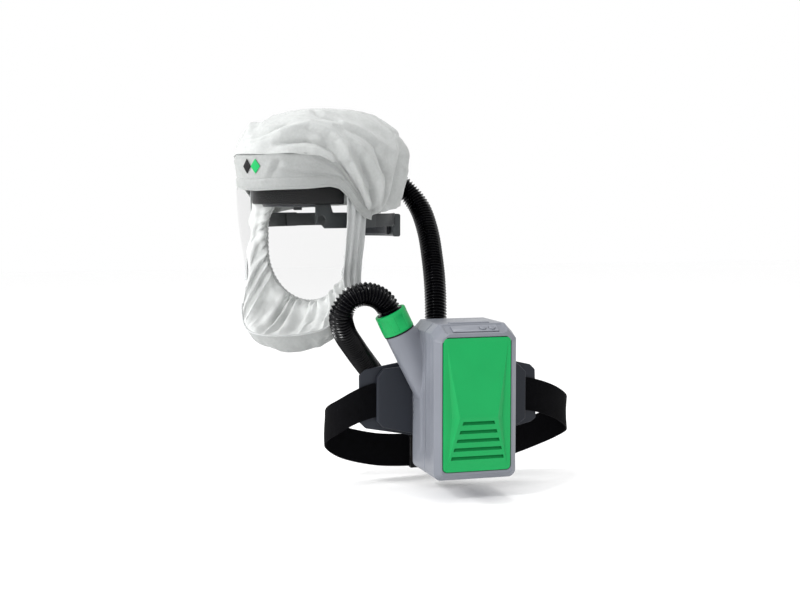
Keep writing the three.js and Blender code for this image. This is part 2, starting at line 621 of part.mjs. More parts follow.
function makeBrowDuct() {
  const outside = ringBand(-62, 62, 34, 60, 4, 14, 24);
  const inside = ringBand(-66, 66, 36.5, 57.5, 4, 9, 24);
  add('brow_duct', cut(outside, inside), 'black', hood);
  add('brow_pad', ringBand(-55, 55, 30, 58, -8, 7, 20), 'foam', hood);
}

// Each side arm hangs from the brow duct, has a round eye and runs back as a straight rail.
function makeSideArms() {
  for (const [name, side] of [['side_arm_left', 1], ['side_arm_right', -1]]) {
    const corners = [];
    for (const turn of [42, 46, 50, 53, 57, 62, 68]) corners.push(ringPoint(turn, -1));
    for (const x of [36, 24, 8, -8]) corners.push(new THREE.Vector3(x, 80, 0));
    const route = new THREE.CatmullRomCurve3(corners, false, 'centripetal');
    const tall = (s) => (s < 0.24 ? 33.4 : 20.5);
    const low = (s) => (s < 0.1 ? 4 : -1);
    const surface = (s, t) => {
      const point = route.getPointAt(s);
      return point.set(point.x, side * point.y, THREE.MathUtils.lerp(low(s), tall(s), t));
    };
    const eye = ringPoint(47, -1);
    eye.set(eye.x, side * eye.y, 12);
    const normal = new THREE.Vector3(0.507, side * 0.862, 0).normalize();
    const drill = pipe(eye.clone().addScaledVector(normal, -15), normal, 30, 6, 0, 16);
    add(name, cut(sheet(surface, 3, 25, 1), drill), 'band', hood);
  }
}

function makeRearBand() {
  const path = [[20, 75.5], [0, 75.5], [-20, 75.5], [-50, 71], [-80, 58.5], [-104, 42]];
  for (const [name, side] of [['band_left', 1], ['band_right', -1]]) {
    add(name, ribbon(path.map(([x, y]) => [x, side * y, 9.5]), 2.5, 20, 14), 'band', hood);
  }
  const shell = ringBand(153, 207, -18, 18, 2, 12, 12);
  const boss = pipe(new THREE.Vector3(-128, 0, -3), new THREE.Vector3(-1, 0, 0), 9.4, 12, 0, 20);
  add('ratchet_housing', join(shell, boss), 'ratchet', hood);
  add('nape_pad', ringBand(158, 202, -15, 15, -7.5, 5.5, 10), 'foam', hood);
  const riser = (s, t) => new THREE.Vector3(-113, THREE.MathUtils.lerp(-8, 8, s), THREE.MathUtils.lerp(18.6, 62, t));
  add('nape_strap', sheet(riser, 2, 1, 1), 'band', hood);
  const knobAxis = new THREE.Vector3(-1, 0, 0);
  const knob = pipe(new THREE.Vector3(-137.8, 0, -3), knobAxis, 12, 14, 0, 20);
  const teeth = [];
  for (let i = 0; i < 10; i += 1) {
    const tooth = box([-149.4, -138.2], [-1.6, 1.6], [13, 15.6]);
    teeth.push(tooth.rotateX((2 * Math.PI * i) / 10).translate(0, 0, -3));
  }
  add('ratchet_knob', join(knob, ...teeth), 'black', hood);
}

function makeOverheadParts() {
  const arch = [[74.5, 24], [72, 60], [60, 96], [36, 124], [0, 134]];
  const mirrored = arch.slice(0, -1).reverse().map(([y, z]) => [-y, z]);
  const over = new THREE.CatmullRomCurve3([...arch, ...mirrored].map(([y, z]) => new THREE.Vector3(0, y, z)));
  const strap = (s, t) => over.getPointAt(s).add(new THREE.Vector3((t - 0.5) * 18 - 6, 0, 0));
  add('crown_strap', sheet(strap, 1.8, 28, 1), 'band', hood);

  const spine = [[-92, 122], [-68, 139], [-15, 152], [45, 149], [96, 116], [116, 68]];
  const route = new THREE.CatmullRomCurve3(spine.map(([x, z]) => new THREE.Vector3(x, 0, z)));
  const channel = (width, from, to) => (s, t) => route.getPointAt(THREE.MathUtils.lerp(from, to, s))
    .add(new THREE.Vector3(0, (t - 0.5) * width, 0));
  const outside = sheet(channel(44, 0.01, 0.99), 12, 20, 1);
  const inside = sheet(channel(40, 0, 1), 8, 20, 1);
  add('overhead_duct', cut(outside, inside), 'black', hood);
}

makeFrontHousing();
makeRearHousing();
makeScrews();
makeFilterCover();
makeFilters();
makeBlower();
makeElectrics();
makeBattery();
makeCollar();
makeHose();
makeHoodInlet();
makePlates();
makeBelts();
makeBuckle();
makeCrown();
makeVisor();
makeFaceSeal();
makeBrowDuct();
makeSideArms();
makeRearBand();
makeOverheadParts();

export default whole;
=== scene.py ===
import json
import math

import bmesh
import bpy
import numpy as np
from mathutils import Matrix, Vector, noise


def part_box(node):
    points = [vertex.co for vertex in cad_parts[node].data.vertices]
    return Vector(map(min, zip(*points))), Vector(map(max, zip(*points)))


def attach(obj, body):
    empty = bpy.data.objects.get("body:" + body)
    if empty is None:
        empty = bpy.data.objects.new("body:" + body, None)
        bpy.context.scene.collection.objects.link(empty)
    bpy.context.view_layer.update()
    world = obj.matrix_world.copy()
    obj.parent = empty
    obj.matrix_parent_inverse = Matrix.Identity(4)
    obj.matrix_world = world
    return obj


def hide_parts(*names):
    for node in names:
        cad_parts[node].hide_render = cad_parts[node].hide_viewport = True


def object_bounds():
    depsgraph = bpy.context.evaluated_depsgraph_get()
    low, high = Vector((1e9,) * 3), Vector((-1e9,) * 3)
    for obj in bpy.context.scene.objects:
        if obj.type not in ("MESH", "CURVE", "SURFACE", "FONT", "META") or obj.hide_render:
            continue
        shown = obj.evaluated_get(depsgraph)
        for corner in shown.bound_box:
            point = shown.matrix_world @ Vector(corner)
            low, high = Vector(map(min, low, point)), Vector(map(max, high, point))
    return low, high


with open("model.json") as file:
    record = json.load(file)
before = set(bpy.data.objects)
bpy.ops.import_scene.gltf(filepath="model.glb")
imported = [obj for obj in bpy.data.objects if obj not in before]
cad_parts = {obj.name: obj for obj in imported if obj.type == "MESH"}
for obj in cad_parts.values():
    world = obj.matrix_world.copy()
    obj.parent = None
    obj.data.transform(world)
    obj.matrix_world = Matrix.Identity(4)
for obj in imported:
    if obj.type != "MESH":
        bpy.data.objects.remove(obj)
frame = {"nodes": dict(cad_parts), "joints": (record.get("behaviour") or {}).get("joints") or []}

cad_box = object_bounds()
MM = 0.001
JOINTS = {joint["name"]: joint for joint in frame["joints"]}


# ---- camera, light and floor --------------------------------------------------------
CAMERA_AZIMUTH, CAMERA_ELEVATION, CAMERA_DISTANCE = -16.6, 4.5, 2.0
CAMERA_TARGET = Vector((-0.072, 0.0, 0.1414))
CAMERA_LENS, CAMERA_SENSOR = 60.0, 36.0
LIGHT_TARGET = Vector((-0.07, 0.0, 0.15))
# Each light has a name, a place, a size in metres and a power in watts.
LIGHTS = [("key", (-1.5, -1.15, 1.1), 0.3, 20), ("side", (-1.9, 0.25, 0.9), 0.35, 20),
          ("top", (0.1, 0.1, 1.9), 0.6, 9)]
FLOOR_GAP, FLOOR_HALF, FLOOR_TONE, FLOOR_ROUGHNESS = 0.012, 6.0, 0.985, 0.9


def aim(thing, place, direction):
    """Puts a camera or a light at a place, facing along a direction."""
    thing.location = place
    thing.rotation_mode = "QUATERNION"
    thing.rotation_quaternion = direction.to_track_quat("-Z", "Y")
    bpy.context.scene.collection.objects.link(thing)


def add_camera():
    azimuth, elevation = math.radians(CAMERA_AZIMUTH), math.radians(CAMERA_ELEVATION)
    back = Vector((math.sin(azimuth) * math.cos(elevation),
                   -math.cos(azimuth) * math.cos(elevation), math.sin(elevation)))
    camera = bpy.data.objects.new("camera", bpy.data.cameras.new("camera"))
    camera.data.lens = CAMERA_LENS
    camera.data.sensor_width = CAMERA_SENSOR
    aim(camera, CAMERA_TARGET + back * CAMERA_DISTANCE, -back)
    bpy.context.scene.camera = camera


def add_light(name, place, size, power):
    data = bpy.data.lights.new(name, "AREA")
    data.shape = "DISK"
    data.size = size
    data.energy = power
    aim(bpy.data.objects.new(name, data), place, LIGHT_TARGET - Vector(place))


def add_studio():
    world = bpy.data.worlds.new("studio")
    world.use_nodes = True
    sky = world.node_tree.nodes["Background"]
    sky.inputs["Color"].default_value = (1.0, 1.0, 1.0, 1.0)
    sky.inputs["Strength"].default_value = 1.0
    bpy.context.scene.world = world
    bpy.context.scene.view_settings.view_transform = "Standard"
    for light in LIGHTS:
        add_light(*light)
    lowest, half = cad_box[0].z - FLOOR_GAP, FLOOR_HALF
    corners = [(x, y, lowest) for x, y in ((-half, -half), (half, -half), (half, half), (-half, half))]
    mesh = bpy.data.meshes.new("floor")
    mesh.from_pydata(corners, [], [(0, 1, 2, 3)])
    floor = bpy.data.objects.new("floor", mesh)
    bpy.context.scene.collection.objects.link(floor)
    mesh.materials.append(plain_floor())


def plain_floor():
    material = bpy.data.materials.new("floor")
    material.use_nodes = True
    shader = material.node_tree.nodes["Principled BSDF"]
    shader.inputs["Base Color"].default_value = (FLOOR_TONE, FLOOR_TONE, FLOOR_TONE, 1.0)
    shader.inputs["Roughness"].default_value = FLOOR_ROUGHNESS
    return material


# ---- materials ----------------------------------------------------------------------
def linear(red, green, blue):
    """Turns a colour from 0 to 255 as it looks on a screen into the shader's own scale."""
    def channel(value):
        value /= 255
        return value / 12.92 if value <= 0.04045 else ((value + 0.055) / 1.055) ** 2.4
    return (channel(red), channel(green), channel(blue), 1.0)


RAMP_START, RAMP_STOP = 0.3, 0.7


class Maker:
    """Builds one node material around a Principled shader."""

    def __init__(self, name, roughness, metallic=0.0, specular=0.3, extras=None):
        self.material = bpy.data.materials.new(name)
        self.material.use_nodes = True
        self.tree = self.material.node_tree
        self.shader = self.tree.nodes["Principled BSDF"]
        values = {"Roughness": roughness, "Metallic": metallic, "Specular IOR Level": specular, **(extras or {})}
        for socket, value in values.items():
            self.shader.inputs[socket].default_value = value
        self.place = self.tree.nodes.new("ShaderNodeTexCoord").outputs["Object"]
        self.normal = None

    def node(self, kind, source, socket, **inputs):
        """Adds a node fed by a source, with its other inputs set."""
        node = self.tree.nodes.new("ShaderNode" + kind)
        self.tree.links.new(source, node.inputs[socket])
        for name, value in inputs.items():
            node.inputs[name].default_value = value
        return node

    def noise(self, scale, detail, stretch=None):
        source = self.place
        if stretch:
            source = self.node("Mapping", source, "Vector", Scale=stretch).outputs["Vector"]
        return self.node("TexNoise", source, "Vector", Scale=scale, Detail=detail).outputs["Fac"]

    def ramp(self, scale, detail, low, high, socket):
        node = self.node("ValToRGB", self.noise(scale, detail), "Fac")
        for stop, position, tone in zip(node.color_ramp.elements, (RAMP_START, RAMP_STOP), (low, high)):
            stop.position = position
            stop.color = tone
        self.tree.links.new(node.outputs["Color"], self.shader.inputs[socket])

    def colour(self, scale, detail, low, high):
        self.ramp(scale, detail, low, high, "Base Color")

    def roughen(self, scale, detail, low, high):
        self.ramp(scale, detail, (low, low, low, 1.0), (high, high, high, 1.0), "Roughness")

    def bump(self, source, depth, strength=1.0):
        node = self.node("Bump", source, "Height", Strength=strength, Distance=depth)
        if self.normal:
            self.tree.links.new(self.normal, node.inputs["Normal"])
        self.normal = node.outputs["Normal"]
        self.tree.links.new(self.normal, self.shader.inputs["Normal"])

    def grain(self, scale, detail, depth, strength=1.0, stretch=None):
        self.bump(self.noise(scale, detail, stretch), depth, strength)

    def ribs(self, scale, direction, depth):
        node = self.node("TexWave", self.place, "Vector", Scale=scale)
        node.bands_direction = direction
        self.bump(node.outputs["Fac"], depth)


def shade(colour, factor):
    return tuple(min(value * factor, 1.0) for value in colour[:3]) + (1.0,)


def plastic(name, colour, roughness, grain=2600, depth=0.00006, specular=0.3):
    """Moulded plastic: fine spark grain, a faint mottle and uneven gloss."""
    maker = Maker(name, roughness, specular=specular)
    maker.colour(14, 4, shade(colour, 0.95), shade(colour, 1.05))
    maker.roughen(30, 5, roughness - 0.06, roughness + 0.08)
    maker.grain(grain, 2, depth)
    return maker.material


def rubber(name, colour, roughness):
    maker = Maker(name, roughness, specular=0.22)
    maker.colour(60, 4, shade(colour, 0.7), shade(colour, 1.6))
    maker.roughen(120, 4, roughness - 0.08, roughness + 0.12)
    maker.grain(1500, 2, 0.00003)
    return maker.material


def webbing(name, colour):
    """Nylon webbing: fine ribs across and a slower weave along."""
    maker = Maker(name, 0.78, specular=0.05)
    maker.colour(90, 5, shade(colour, 0.75), shade(colour, 1.35))
    maker.ribs(330, "Z", 0.00022)
    maker.ribs(210, "X", 0.00016)
    maker.grain(900, 2, 0.00010)
    return maker.material


def coated_cloth(name, colour):
    """Coated non-woven hood cloth: fibre mottle, fine crinkle and a soft sheen."""
    maker = Maker(name, 0.62, extras={
        "Sheen Weight": 0.05, "Subsurface Weight": 0.6, "Subsurface Radius": (1.0, 1.0, 1.0),
        "Subsurface Scale": 0.0035})
    maker.colour(260, 6, shade(colour, 0.95), shade(colour, 1.05))
    maker.roughen(50, 4, 0.5, 0.72)
    maker.grain(38, 6, 0.0016, 0.55, (1.0, 1.0, 0.55))
    maker.grain(900, 3, 0.00008)
    return maker.material


def clear_film(name):
    maker = Maker(name, 0.06, extras={"Alpha": 0.05, "IOR": 1.5})
    maker.colour(9, 3, (0.05, 0.052, 0.052, 1.0), (0.08, 0.082, 0.082, 1.0))
    maker.roughen(22, 4, 0.04, 0.1)
    return maker.material


def metal(name, colour, roughness):
    maker = Maker(name, roughness, 1.0)
    maker.colour(40, 4, shade(colour, 0.85), shade(colour, 1.1))
    maker.grain(700, 2, 0.00003, stretch=(1.0, 8.0, 1.0))
    return maker.material


def foam(name, colour):
    maker = Maker(name, 0.9, extras={"Sheen Weight": 0.3})
    maker.colour(200, 5, shade(colour, 0.8), shade(colour, 1.3))
    maker.grain(1100, 3, 0.0002)
    return maker.material


def pleated_paper(name):
    maker = Maker(name, 0.9)
    maker.colour(80, 4, linear(176, 172, 158), linear(204, 200, 188))
    maker.ribs(95, "X", 0.0012)
    maker.grain(600, 3, 0.0001)
    return maker.material


def solder_mask(name):
    maker = Maker(name, 0.35)
    maker.colour(120, 5, linear(18, 72, 40), linear(30, 104, 58))
    maker.grain(500, 2, 0.0001)
    return maker.material


def build_palette():
    return {
        "grey": plastic("grey_shell", linear(113, 116, 124), 0.34),
        "pale": plastic("pale_panel", linear(120, 123, 131), 0.3),
        "green": plastic("green_shell", linear(8, 146, 76), 0.36, specular=0.22),
        # painted shade: a darker green for the faces inside the cover's slots, standing for the shadow in the
        # recesses
        "slot": plastic("slot_shade", linear(6, 112, 56), 0.5, specular=0.1),
        "slate": plastic("slate_shell", linear(34, 37, 44), 0.48, grain=1500, depth=0.00012, specular=0.2),
        "black": plastic("black_plastic", linear(9, 9, 11), 0.38, specular=0.16),
        "band": plastic("band_plastic", linear(34, 38, 40), 0.42),
        "ratchet": plastic("ratchet_plastic", linear(60, 64, 66), 0.3),
        "hose": rubber("hose_rubber", linear(3, 3, 5), 0.2),
        "seal": rubber("seal_rubber", linear(8, 9, 10), 0.55),
        "webbing": webbing("webbing", linear(5, 5, 7)),
        "cloth": coated_cloth("hood_cloth", linear(168, 170, 169)),
        "strip": coated_cloth("strip_cloth", linear(165, 167, 167)),
        # painted light: a brighter copy of the hood cloth for the face seal, standing for light on the bib under
        # the hood
        "face": coated_cloth("face_cloth", linear(198, 200, 199)),
        # painted shade: a darker copy of the hood cloth for the brow band and the chin bag, standing for the
        # shade they sit in
        "shade": coated_cloth("brow_cloth", linear(144, 146, 145)),
        "collar": plastic("collar_green", linear(3, 131, 67), 0.36, specular=0.22),
        "film": clear_film("visor_film"),
        "steel": metal("steel", linear(180, 183, 187), 0.32),
        "foam": foam("foam", linear(44, 46, 50)),
        "paper": pleated_paper("filter_media"),
        "board": solder_mask("board"),
    }


# ---- mesh helpers -------------------------------------------------------------------
def new_piece(name, mesh, material):
    mesh.materials.clear()
    mesh.materials.append(material)
    piece = bpy.data.objects.new(name, mesh)
    bpy.context.scene.collection.objects.link(piece)
    return piece


def reworked(mesh, merge, work_on):
    """Joins points that coincide, then applies one more mesh operation."""
    work = bmesh.new()
    work.from_mesh(mesh)
    bmesh.ops.remove_doubles(work, verts=work.verts, dist=merge)
    work_on(work)
    work.to_mesh(mesh)
    work.free()


def mesh_object(name, points, faces, material, smooth=True, sharp_angle=None):
    mesh = bpy.data.meshes.new(name)
    mesh.from_pydata([tuple(point) for point in points], [], faces)
    mesh.validate()
    reworked(mesh, 1e-7, lambda work: bmesh.ops.recalc_face_normals(work, faces=work.faces))
    if smooth:
        mesh.shade_smooth()
        if sharp_angle is not None:
            mesh.set_sharp_from_angle(angle=math.radians(sharp_angle))
    return new_piece(name, mesh, material)


def bake_modifiers(piece):
    graph = bpy.context.evaluated_depsgraph_get()
    mesh = bpy.data.meshes.new_from_object(piece.evaluated_get(graph))
    piece.modifiers.clear()
    piece.data = mesh
    return piece


def grid_normals(points, loop):
    if loop:
        along = np.roll(points, -1, 0) - np.roll(points, 1, 0)
    else:
        along = np.gradient(points, axis=0)
    across = np.gradient(points, axis=1)
    normals = np.cross(along, across)
    length = np.linalg.norm(normals, axis=2, keepdims=True)
    return normals / np.maximum(length, 1e-12)


def thick_sheet(name, surface, columns, rows, thickness, material, loop=False, place=None, relief=None,
                relief_grid=None):
    """A closed sheet of even thickness over surface(s, t), its relief pushed out along the normals.

    relief gives one height for s and t, and relief_grid gives all of them from the grid of points.
    """
    shares = [i / columns for i in range(columns if loop else columns + 1)]

    def sampled(function):
        return np.array([[function(s, j / rows) for j in range(rows + 1)] for s in shares], float)

    middle = sampled(surface)
    normals = grid_normals(middle, loop)
    if relief or relief_grid:
        lift = relief_grid(middle) if relief_grid else sampled(relief)
        middle = middle + normals * lift[..., None]
        normals = grid_normals(middle, loop)
    count = len(shares) * (rows + 1)
    half = normals * (thickness / 2)
    points = np.concatenate([side.reshape(-1, 3) for side in (middle + half, middle - half)]) * MM

    def at(side, i, j):
        return side * count + (i % len(shares)) * (rows + 1) + j

    faces = []
    for i in range(columns):
        for j in range(rows):
            faces.append((at(0, i, j), at(0, i + 1, j), at(0, i + 1, j + 1), at(0, i, j + 1)))
            faces.append((at(1, i, j), at(1, i, j + 1), at(1, i + 1, j + 1), at(1, i + 1, j)))
        faces.append((at(0, i, 0), at(1, i, 0), at(1, i + 1, 0), at(0, i + 1, 0)))
        faces.append((at(0, i, rows), at(0, i + 1, rows), at(1, i + 1, rows), at(1, i, rows)))
    for j in range(0 if loop else rows):
        faces.append((at(0, 0, j), at(0, 0, j + 1), at(1, 0, j + 1), at(1, 0, j)))
        faces.append((at(0, columns, j), at(1, columns, j), at(1, columns, j + 1), at(0, columns, j + 1)))
    piece = mesh_object(name, points, faces, material, sharp_angle=70)
    if place is not None:
        piece.data.transform(place)
    return piece


def loft(name, rings, material, sharp_angle=35, ring_closed=False):
    """Skins rings of points that all have the same count, and closes its ends unless it is a ring."""
    count = len(rings[0])
    points = np.concatenate([np.asarray(ring, float) for ring in rings]) * MM
    faces = []
    for i in range(len(rings) if ring_closed else len(rings) - 1):
        here, there = i * count, ((i + 1) % len(rings)) * count
        for j in range(count):
            k = (j + 1) % count
            faces.append((here + j, here + k, there + k, there + j))
    if not ring_closed:
        faces.append(tuple(range(count - 1, -1, -1)))
        faces.append(tuple(range((len(rings) - 1) * count, len(rings) * count)))
    return mesh_object(name, points, faces, material, sharp_angle=sharp_angle)


def into_hood(piece):
    piece.data.transform(HOOD)
    return piece


def circle(centre, side, up, radius, count):
    """Points round a circle; the radius may be a function of the point's number."""
    points = []
    for i in range(count):
        angle = 2 * math.pi * i / count
        reach = radius(i) if callable(radius) else radius
        points.append(centre + side * (reach * math.cos(angle)) + up * (reach * math.sin(angle)))
    return points


CURVE_STEPS = 24
CURVE_SPANS = (((0, 1), (1, 2), (2, 3)), ((0, 2), (1, 3)), ((1, 2),))


def smooth_curve(points, samples):
    """Even samples along a centripetal curve through the points, and its length."""
    pts = [Vector(point) for point in points]
    pts = [pts[0] * 2 - pts[1], *pts, pts[-1] * 2 - pts[-2]]
    fine = []
    for i in range(1, len(pts) - 2):
        knots = [0.0]
        for j in range(3):
            knots.append(knots[-1] + max((pts[i + j] - pts[i + j - 1]).length, 1e-9) ** 0.5)
        for k in range(CURVE_STEPS):
            place = knots[1] + (knots[2] - knots[1]) * k / CURVE_STEPS
            fine.append(centripetal(pts[i - 1:i + 3], knots, place))
    fine.append(pts[-2])
    fine = np.array([tuple(point) for point in fine])
    run = np.concatenate([[0], np.cumsum(np.linalg.norm(np.diff(fine, axis=0), axis=1))])
    wanted = np.linspace(0, run[-1], samples)
    return np.stack([np.interp(wanted, run, fine[:, axis]) for axis in range(3)], 1), run[-1]


def centripetal(layer, knots, at):
    """One point of the curve between the middle two of four points."""
    for spans in CURVE_SPANS:
        layer = [(a * (knots[high] - at) + b * (at - knots[low])) / (knots[high] - knots[low])
                 for a, b, (low, high) in zip(layer, layer[1:], spans)]
    return layer[0]


def frames_along(path):
    """Sides and ups carried along a path without twist."""
    tangents = np.gradient(path, axis=0)
    tangents /= np.linalg.norm(tangents, axis=1, keepdims=True)
    side = np.cross(tangents[0], (0.0, 0.3, 1.0))
    sides = []
    for tangent in tangents:
        side = side - tangent * np.dot(side, tangent)
        side /= np.linalg.norm(side)
        sides.append(side)
    return sides, np.cross(tangents, np.array(sides))


def rounded_rectangle(half_width, half_height, radius, steps=4):
    points = []
    for turn, (x, y) in enumerate([(1, 1), (-1, 1), (-1, -1), (1, -1)]):
        for angle in (math.pi / 2 * (turn + i / steps) for i in range(steps + 1)):
            points.append((x * (half_width - radius) + radius * math.cos(angle),
                           y * (half_height - radius) + radius * math.sin(angle)))
    return points


def clamp(value):
    return min(max(value, 0), 1)


def bell(value, width):
    return math.exp(-(value / width) ** 2)


def wobble(x, y, z):
    return noise.noise(Vector((x, y, z)))


def dressed(node, body, material, width=0.6, segments=2, angle=28):
    """A copy of a CAD node with its flat faces joined and its edges softly rounded."""
    mesh = frame["nodes"][node].data.copy()
    piece = new_piece(node + "_shaped", mesh, material)
    reworked(mesh, 1e-6, lambda work: bmesh.ops.dissolve_limit(
        work, angle_limit=math.radians(1.0), verts=work.verts, edges=work.edges))
    bevel = piece.modifiers.new("bevel", "BEVEL")
    bevel.width = width * MM
    bevel.segments = segments
    bevel.limit_method = "ANGLE"
    bevel.angle_limit = math.radians(angle)
    bake_modifiers(piece)
    piece.data.shade_smooth()
    piece.data.set_sharp_from_angle(angle=math.radians(40))
    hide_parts(node)
    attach(piece, body)
    return piece


def finished(piece, body, slot_name, *nodes):
    if nodes:
        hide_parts(*nodes)
    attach(piece, body)
    return piece


# ---- the hood's own frame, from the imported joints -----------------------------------
# In it X is forward, Y is to the wearer's left and Z is up.
FORWARD = Vector(JOINTS["headband_slide"]["axis"])
INLET_FORWARD, INLET_UP = -116.0, 98.0
INLET_WORLD = Vector(JOINTS["hood_swivel"]["pos_m"]) / MM
HOOD_ORIGIN = INLET_WORLD - FORWARD * INLET_FORWARD - Vector((0, 0, INLET_UP))
HOOD = Matrix.Translation(HOOD_ORIGIN * MM) @ Matrix.Rotation(math.atan2(FORWARD.y, FORWARD.x), 4, "Z")
# ---- breathing hose -----------------------------------------------------------------
HOSE_DIAMETER = 35.0
RIB_PITCH = 4.9
RIB_DEPTH = 3.9
# The route between the two cuffs, in metres.
HOSE_POINTS = [
    (-0.114, -0.0545, 0.145), (-0.127, -0.0565, 0.153), (-0.144, -0.058, 0.156),
    (-0.164, -0.058, 0.149), (-0.176, -0.053, 0.128), (-0.169, -0.038, 0.103), (-0.142, -0.004, 0.069),
    (-0.109, 0.029, 0.032), (-0.078, 0.046, -0.007), (-0.048, 0.052, -0.03), (-0.022, 0.054, -0.027),
    (-0.005, 0.056, -0.002), (0.002, 0.06, 0.033), (0.006, 0.068, 0.072), (0.01, 0.078, 0.104),
    (0.016, 0.101, 0.156), (0.02, 0.128, 0.199), (0.021, 0.156, 0.242), (0.014, 0.181, 0.28),
    (-0.006, 0.194, 0.309),
]
HOSE_SIDES, RIB_STEPS = 40, 8
# How far the hose starts and ends from its two joints, and the straight run at each end.
UNIT_CUFF, UNIT_RUN, HOOD_CUFF, HOOD_RUN = 33.4, 7.0, 42.4, 13.6


def add_hose(palette):
    axis = Vector(JOINTS["collar_turn"]["axis"])
    out = Vector(JOINTS["hood_swivel"]["axis"])
    start = Vector(JOINTS["collar_turn"]["pos_m"]) / MM + axis * UNIT_CUFF
    end = INLET_WORLD + out * HOOD_CUFF
    route = [start, start + axis * UNIT_RUN, *[Vector(point) / MM for point in HOSE_POINTS],
             end + out * HOOD_RUN, end]
    _, length = smooth_curve(route, 10)
    path, length = smooth_curve(route, int(length / RIB_PITCH) * RIB_STEPS + 1)
    rings = []
    for i, (centre, side, up) in enumerate(zip(path, *frames_along(path))):
        groove = (0.5 - 0.5 * math.cos(2 * math.pi * i / RIB_STEPS)) ** 0.7
        rings.append(circle(centre, side, up, HOSE_DIAMETER / 2 - RIB_DEPTH * groove, HOSE_SIDES))
    hose = loft("breathing_hose_tube", rings, palette["hose"], sharp_angle=80)
    finished(hose, "unit", "hose_rubber", "breathing_hose")


# ---- unit housings ------------------------------------------------------------------
UNIT_LOW, UNIT_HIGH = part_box("front_housing")
HALF_WIDTH = UNIT_HIGH.x / MM
BASE = UNIT_LOW.z / MM
FRONT = UNIT_LOW.y / MM
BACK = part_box("rear_housing")[1].y / MM
SEAM = -92.0
TOP = 115.0
CHAMFER = 9.0
SLOPE_START, SLOPE = -118.0, 12 / 25
# The sunk panels: a depth, and for each direction the low edge, the high edge and the blur.
SIDE_DEPTH, SIDE_PANEL_Y, SIDE_PANEL_Z = 1.7, (-122, -70, 6), (-78, 96, 9)
WINDOW_DEPTH, WINDOW_Y, WINDOW_X = 1.5, (-140.4, -119.6, 1.3), (-47, 47, 2.2)
# The soft lip at the seam and at the back: how far in from the edge, and how much smaller.
SEAM_LIP = [(0.15, 0.9), (0.5, 0.25), (1.2, 0)]
BACK_LIP = [(1.2, 0.4), (0.3, 1.4), (0, 2.8), (0, 12), (3, 12), (3, 4)]


def arc(centre, radius, start, stop, steps):
    return [(centre[0] + radius * math.cos(math.radians(start + (stop - start) * i / steps)),
             centre[1] + radius * math.sin(math.radians(start + (stop - start) * i / steps)))
            for i in range(steps + 1)]


def straight(a, b, steps):
    return [(a[0] + (b[0] - a[0]) * i / steps, a[1] + (b[1] - a[1]) * i / steps) for i in range(1, steps)]


CORNER_STEPS, TOP_STEPS, SIDE_STEPS, BASE_STEPS, FOOT_STEPS = 4, 56, 36, 14, 8


def closed_outline(right, half, low, high, foot):
    """Mirrors an upper right corner and runs on round the foot, always with the same count of points."""
    left = [(-x, z) for x, z in reversed(right)]
    points = right + straight((right[-1][0], high), (-right[-1][0], high), TOP_STEPS) + left
    points += straight((-half, left[-1][1]), (-half, low + foot), SIDE_STEPS)
    points += arc((foot - half, low + foot), foot, 180, 270, FOOT_STEPS)
    points += straight((foot - half, low), (half - foot, low), BASE_STEPS)
    points += arc((half - foot, low + foot), foot, 270, 360, FOOT_STEPS)
    return points + straight((half, low + foot), (half, right[0][1]), SIDE_STEPS)


def unit_outline(inset, top):
    """The unit's outline in X and Z: round foot corners, cut and softened shoulders."""
    side, high, soft = HALF_WIDTH - inset, top - inset, 3.0
    shoulder = high - 13.5
    right = [
        *arc((side - soft, shoulder - 1.0), soft, 0, 42, CORNER_STEPS),
        *straight((side - 0.8, shoulder + 1.0), (side - 11.7, high - 1.0), CORNER_STEPS),
        *arc((side - 13.6, high - soft), soft, 48, 90, CORNER_STEPS),
    ]
    return closed_outline(right, side, BASE + inset, high, max(11 - inset, 1.5))


def mouth_outline(half, low, high, radius):
    """A round-cornered window with the same count of points as unit_outline."""
    near, far = radius * 0.26, radius * 0.33
    right = [*arc((half - radius, high - radius), radius, 0, 42, CORNER_STEPS),
             *straight((half - near, high - far), (half - far, high - near), CORNER_STEPS),
             *arc((half - radius, high - radius), radius, 48, 90, CORNER_STEPS)]
    return closed_outline(right, half, low, high, radius)


def top_at(y):
    """The top slopes down towards the front face."""
    return TOP - max(SLOPE_START - y, 0) * SLOPE


def bump_step(value, low, high, blur):
    """1 between low and high, easing to 0 over a blur at each end."""
    share = min(clamp((value - low) / blur), clamp((high - value) / blur))
    return share * share * (3 - 2 * share)


def side_recess(x, y, z):
    """A shallow soft-edged panel sunk into each side wall."""
    if abs(abs(x) - HALF_WIDTH) > 0.6:
        return x
    depth = SIDE_DEPTH * bump_step(y, *SIDE_PANEL_Y) * bump_step(z, *SIDE_PANEL_Z)
    return x - math.copysign(depth, x)


def slope_recess(x, y, z):
    """A shallow window sunk into the slope that faces up between the top and the cover."""
    if z < top_at(y) - 0.6:
        return z
    return z - WINDOW_DEPTH * bump_step(y, *WINDOW_Y) * bump_step(x, *WINDOW_X)


def housing_ring(y, inset):
    ring = []
    for x, z in unit_outline(inset, top_at(y)):
        ring.append((side_recess(x, y, z), y, slope_recess(x, y, z) if inset < 0.5 else z))
    return ring


def front_ring(share):
    """The front edge: a soft cut all round, which the slope at the top runs through to the face."""
    y = FRONT + CHAMFER * (1 - share)
    soft = min(share * 10, (1 - share) * 10, 1) * 0.35
    ring = []
    full = unit_outline(0, top_at(y))
    cut = unit_outline(CHAMFER * share, top_at(y) + CHAMFER * share)
    for (_, z), (cut_x, cut_z) in zip(full, cut):
        height = cut_z if z < 90 else min(z, cut_z)
        ring.append((side_recess(cut_x, y, z), y - soft, slope_recess(cut_x, y, height)))
    return ring


def at_depth(outline, y):
    return [(x, y, z) for x, z in outline]


def spaced_steps(start, stop, pitch):
    count = max(int(abs(stop - start) / pitch), 1)
    return [start + (stop - start) * i / count for i in range(count + 1)]


def housing_rings(pairs):
    return [housing_ring(y, inset) for y, inset in pairs]


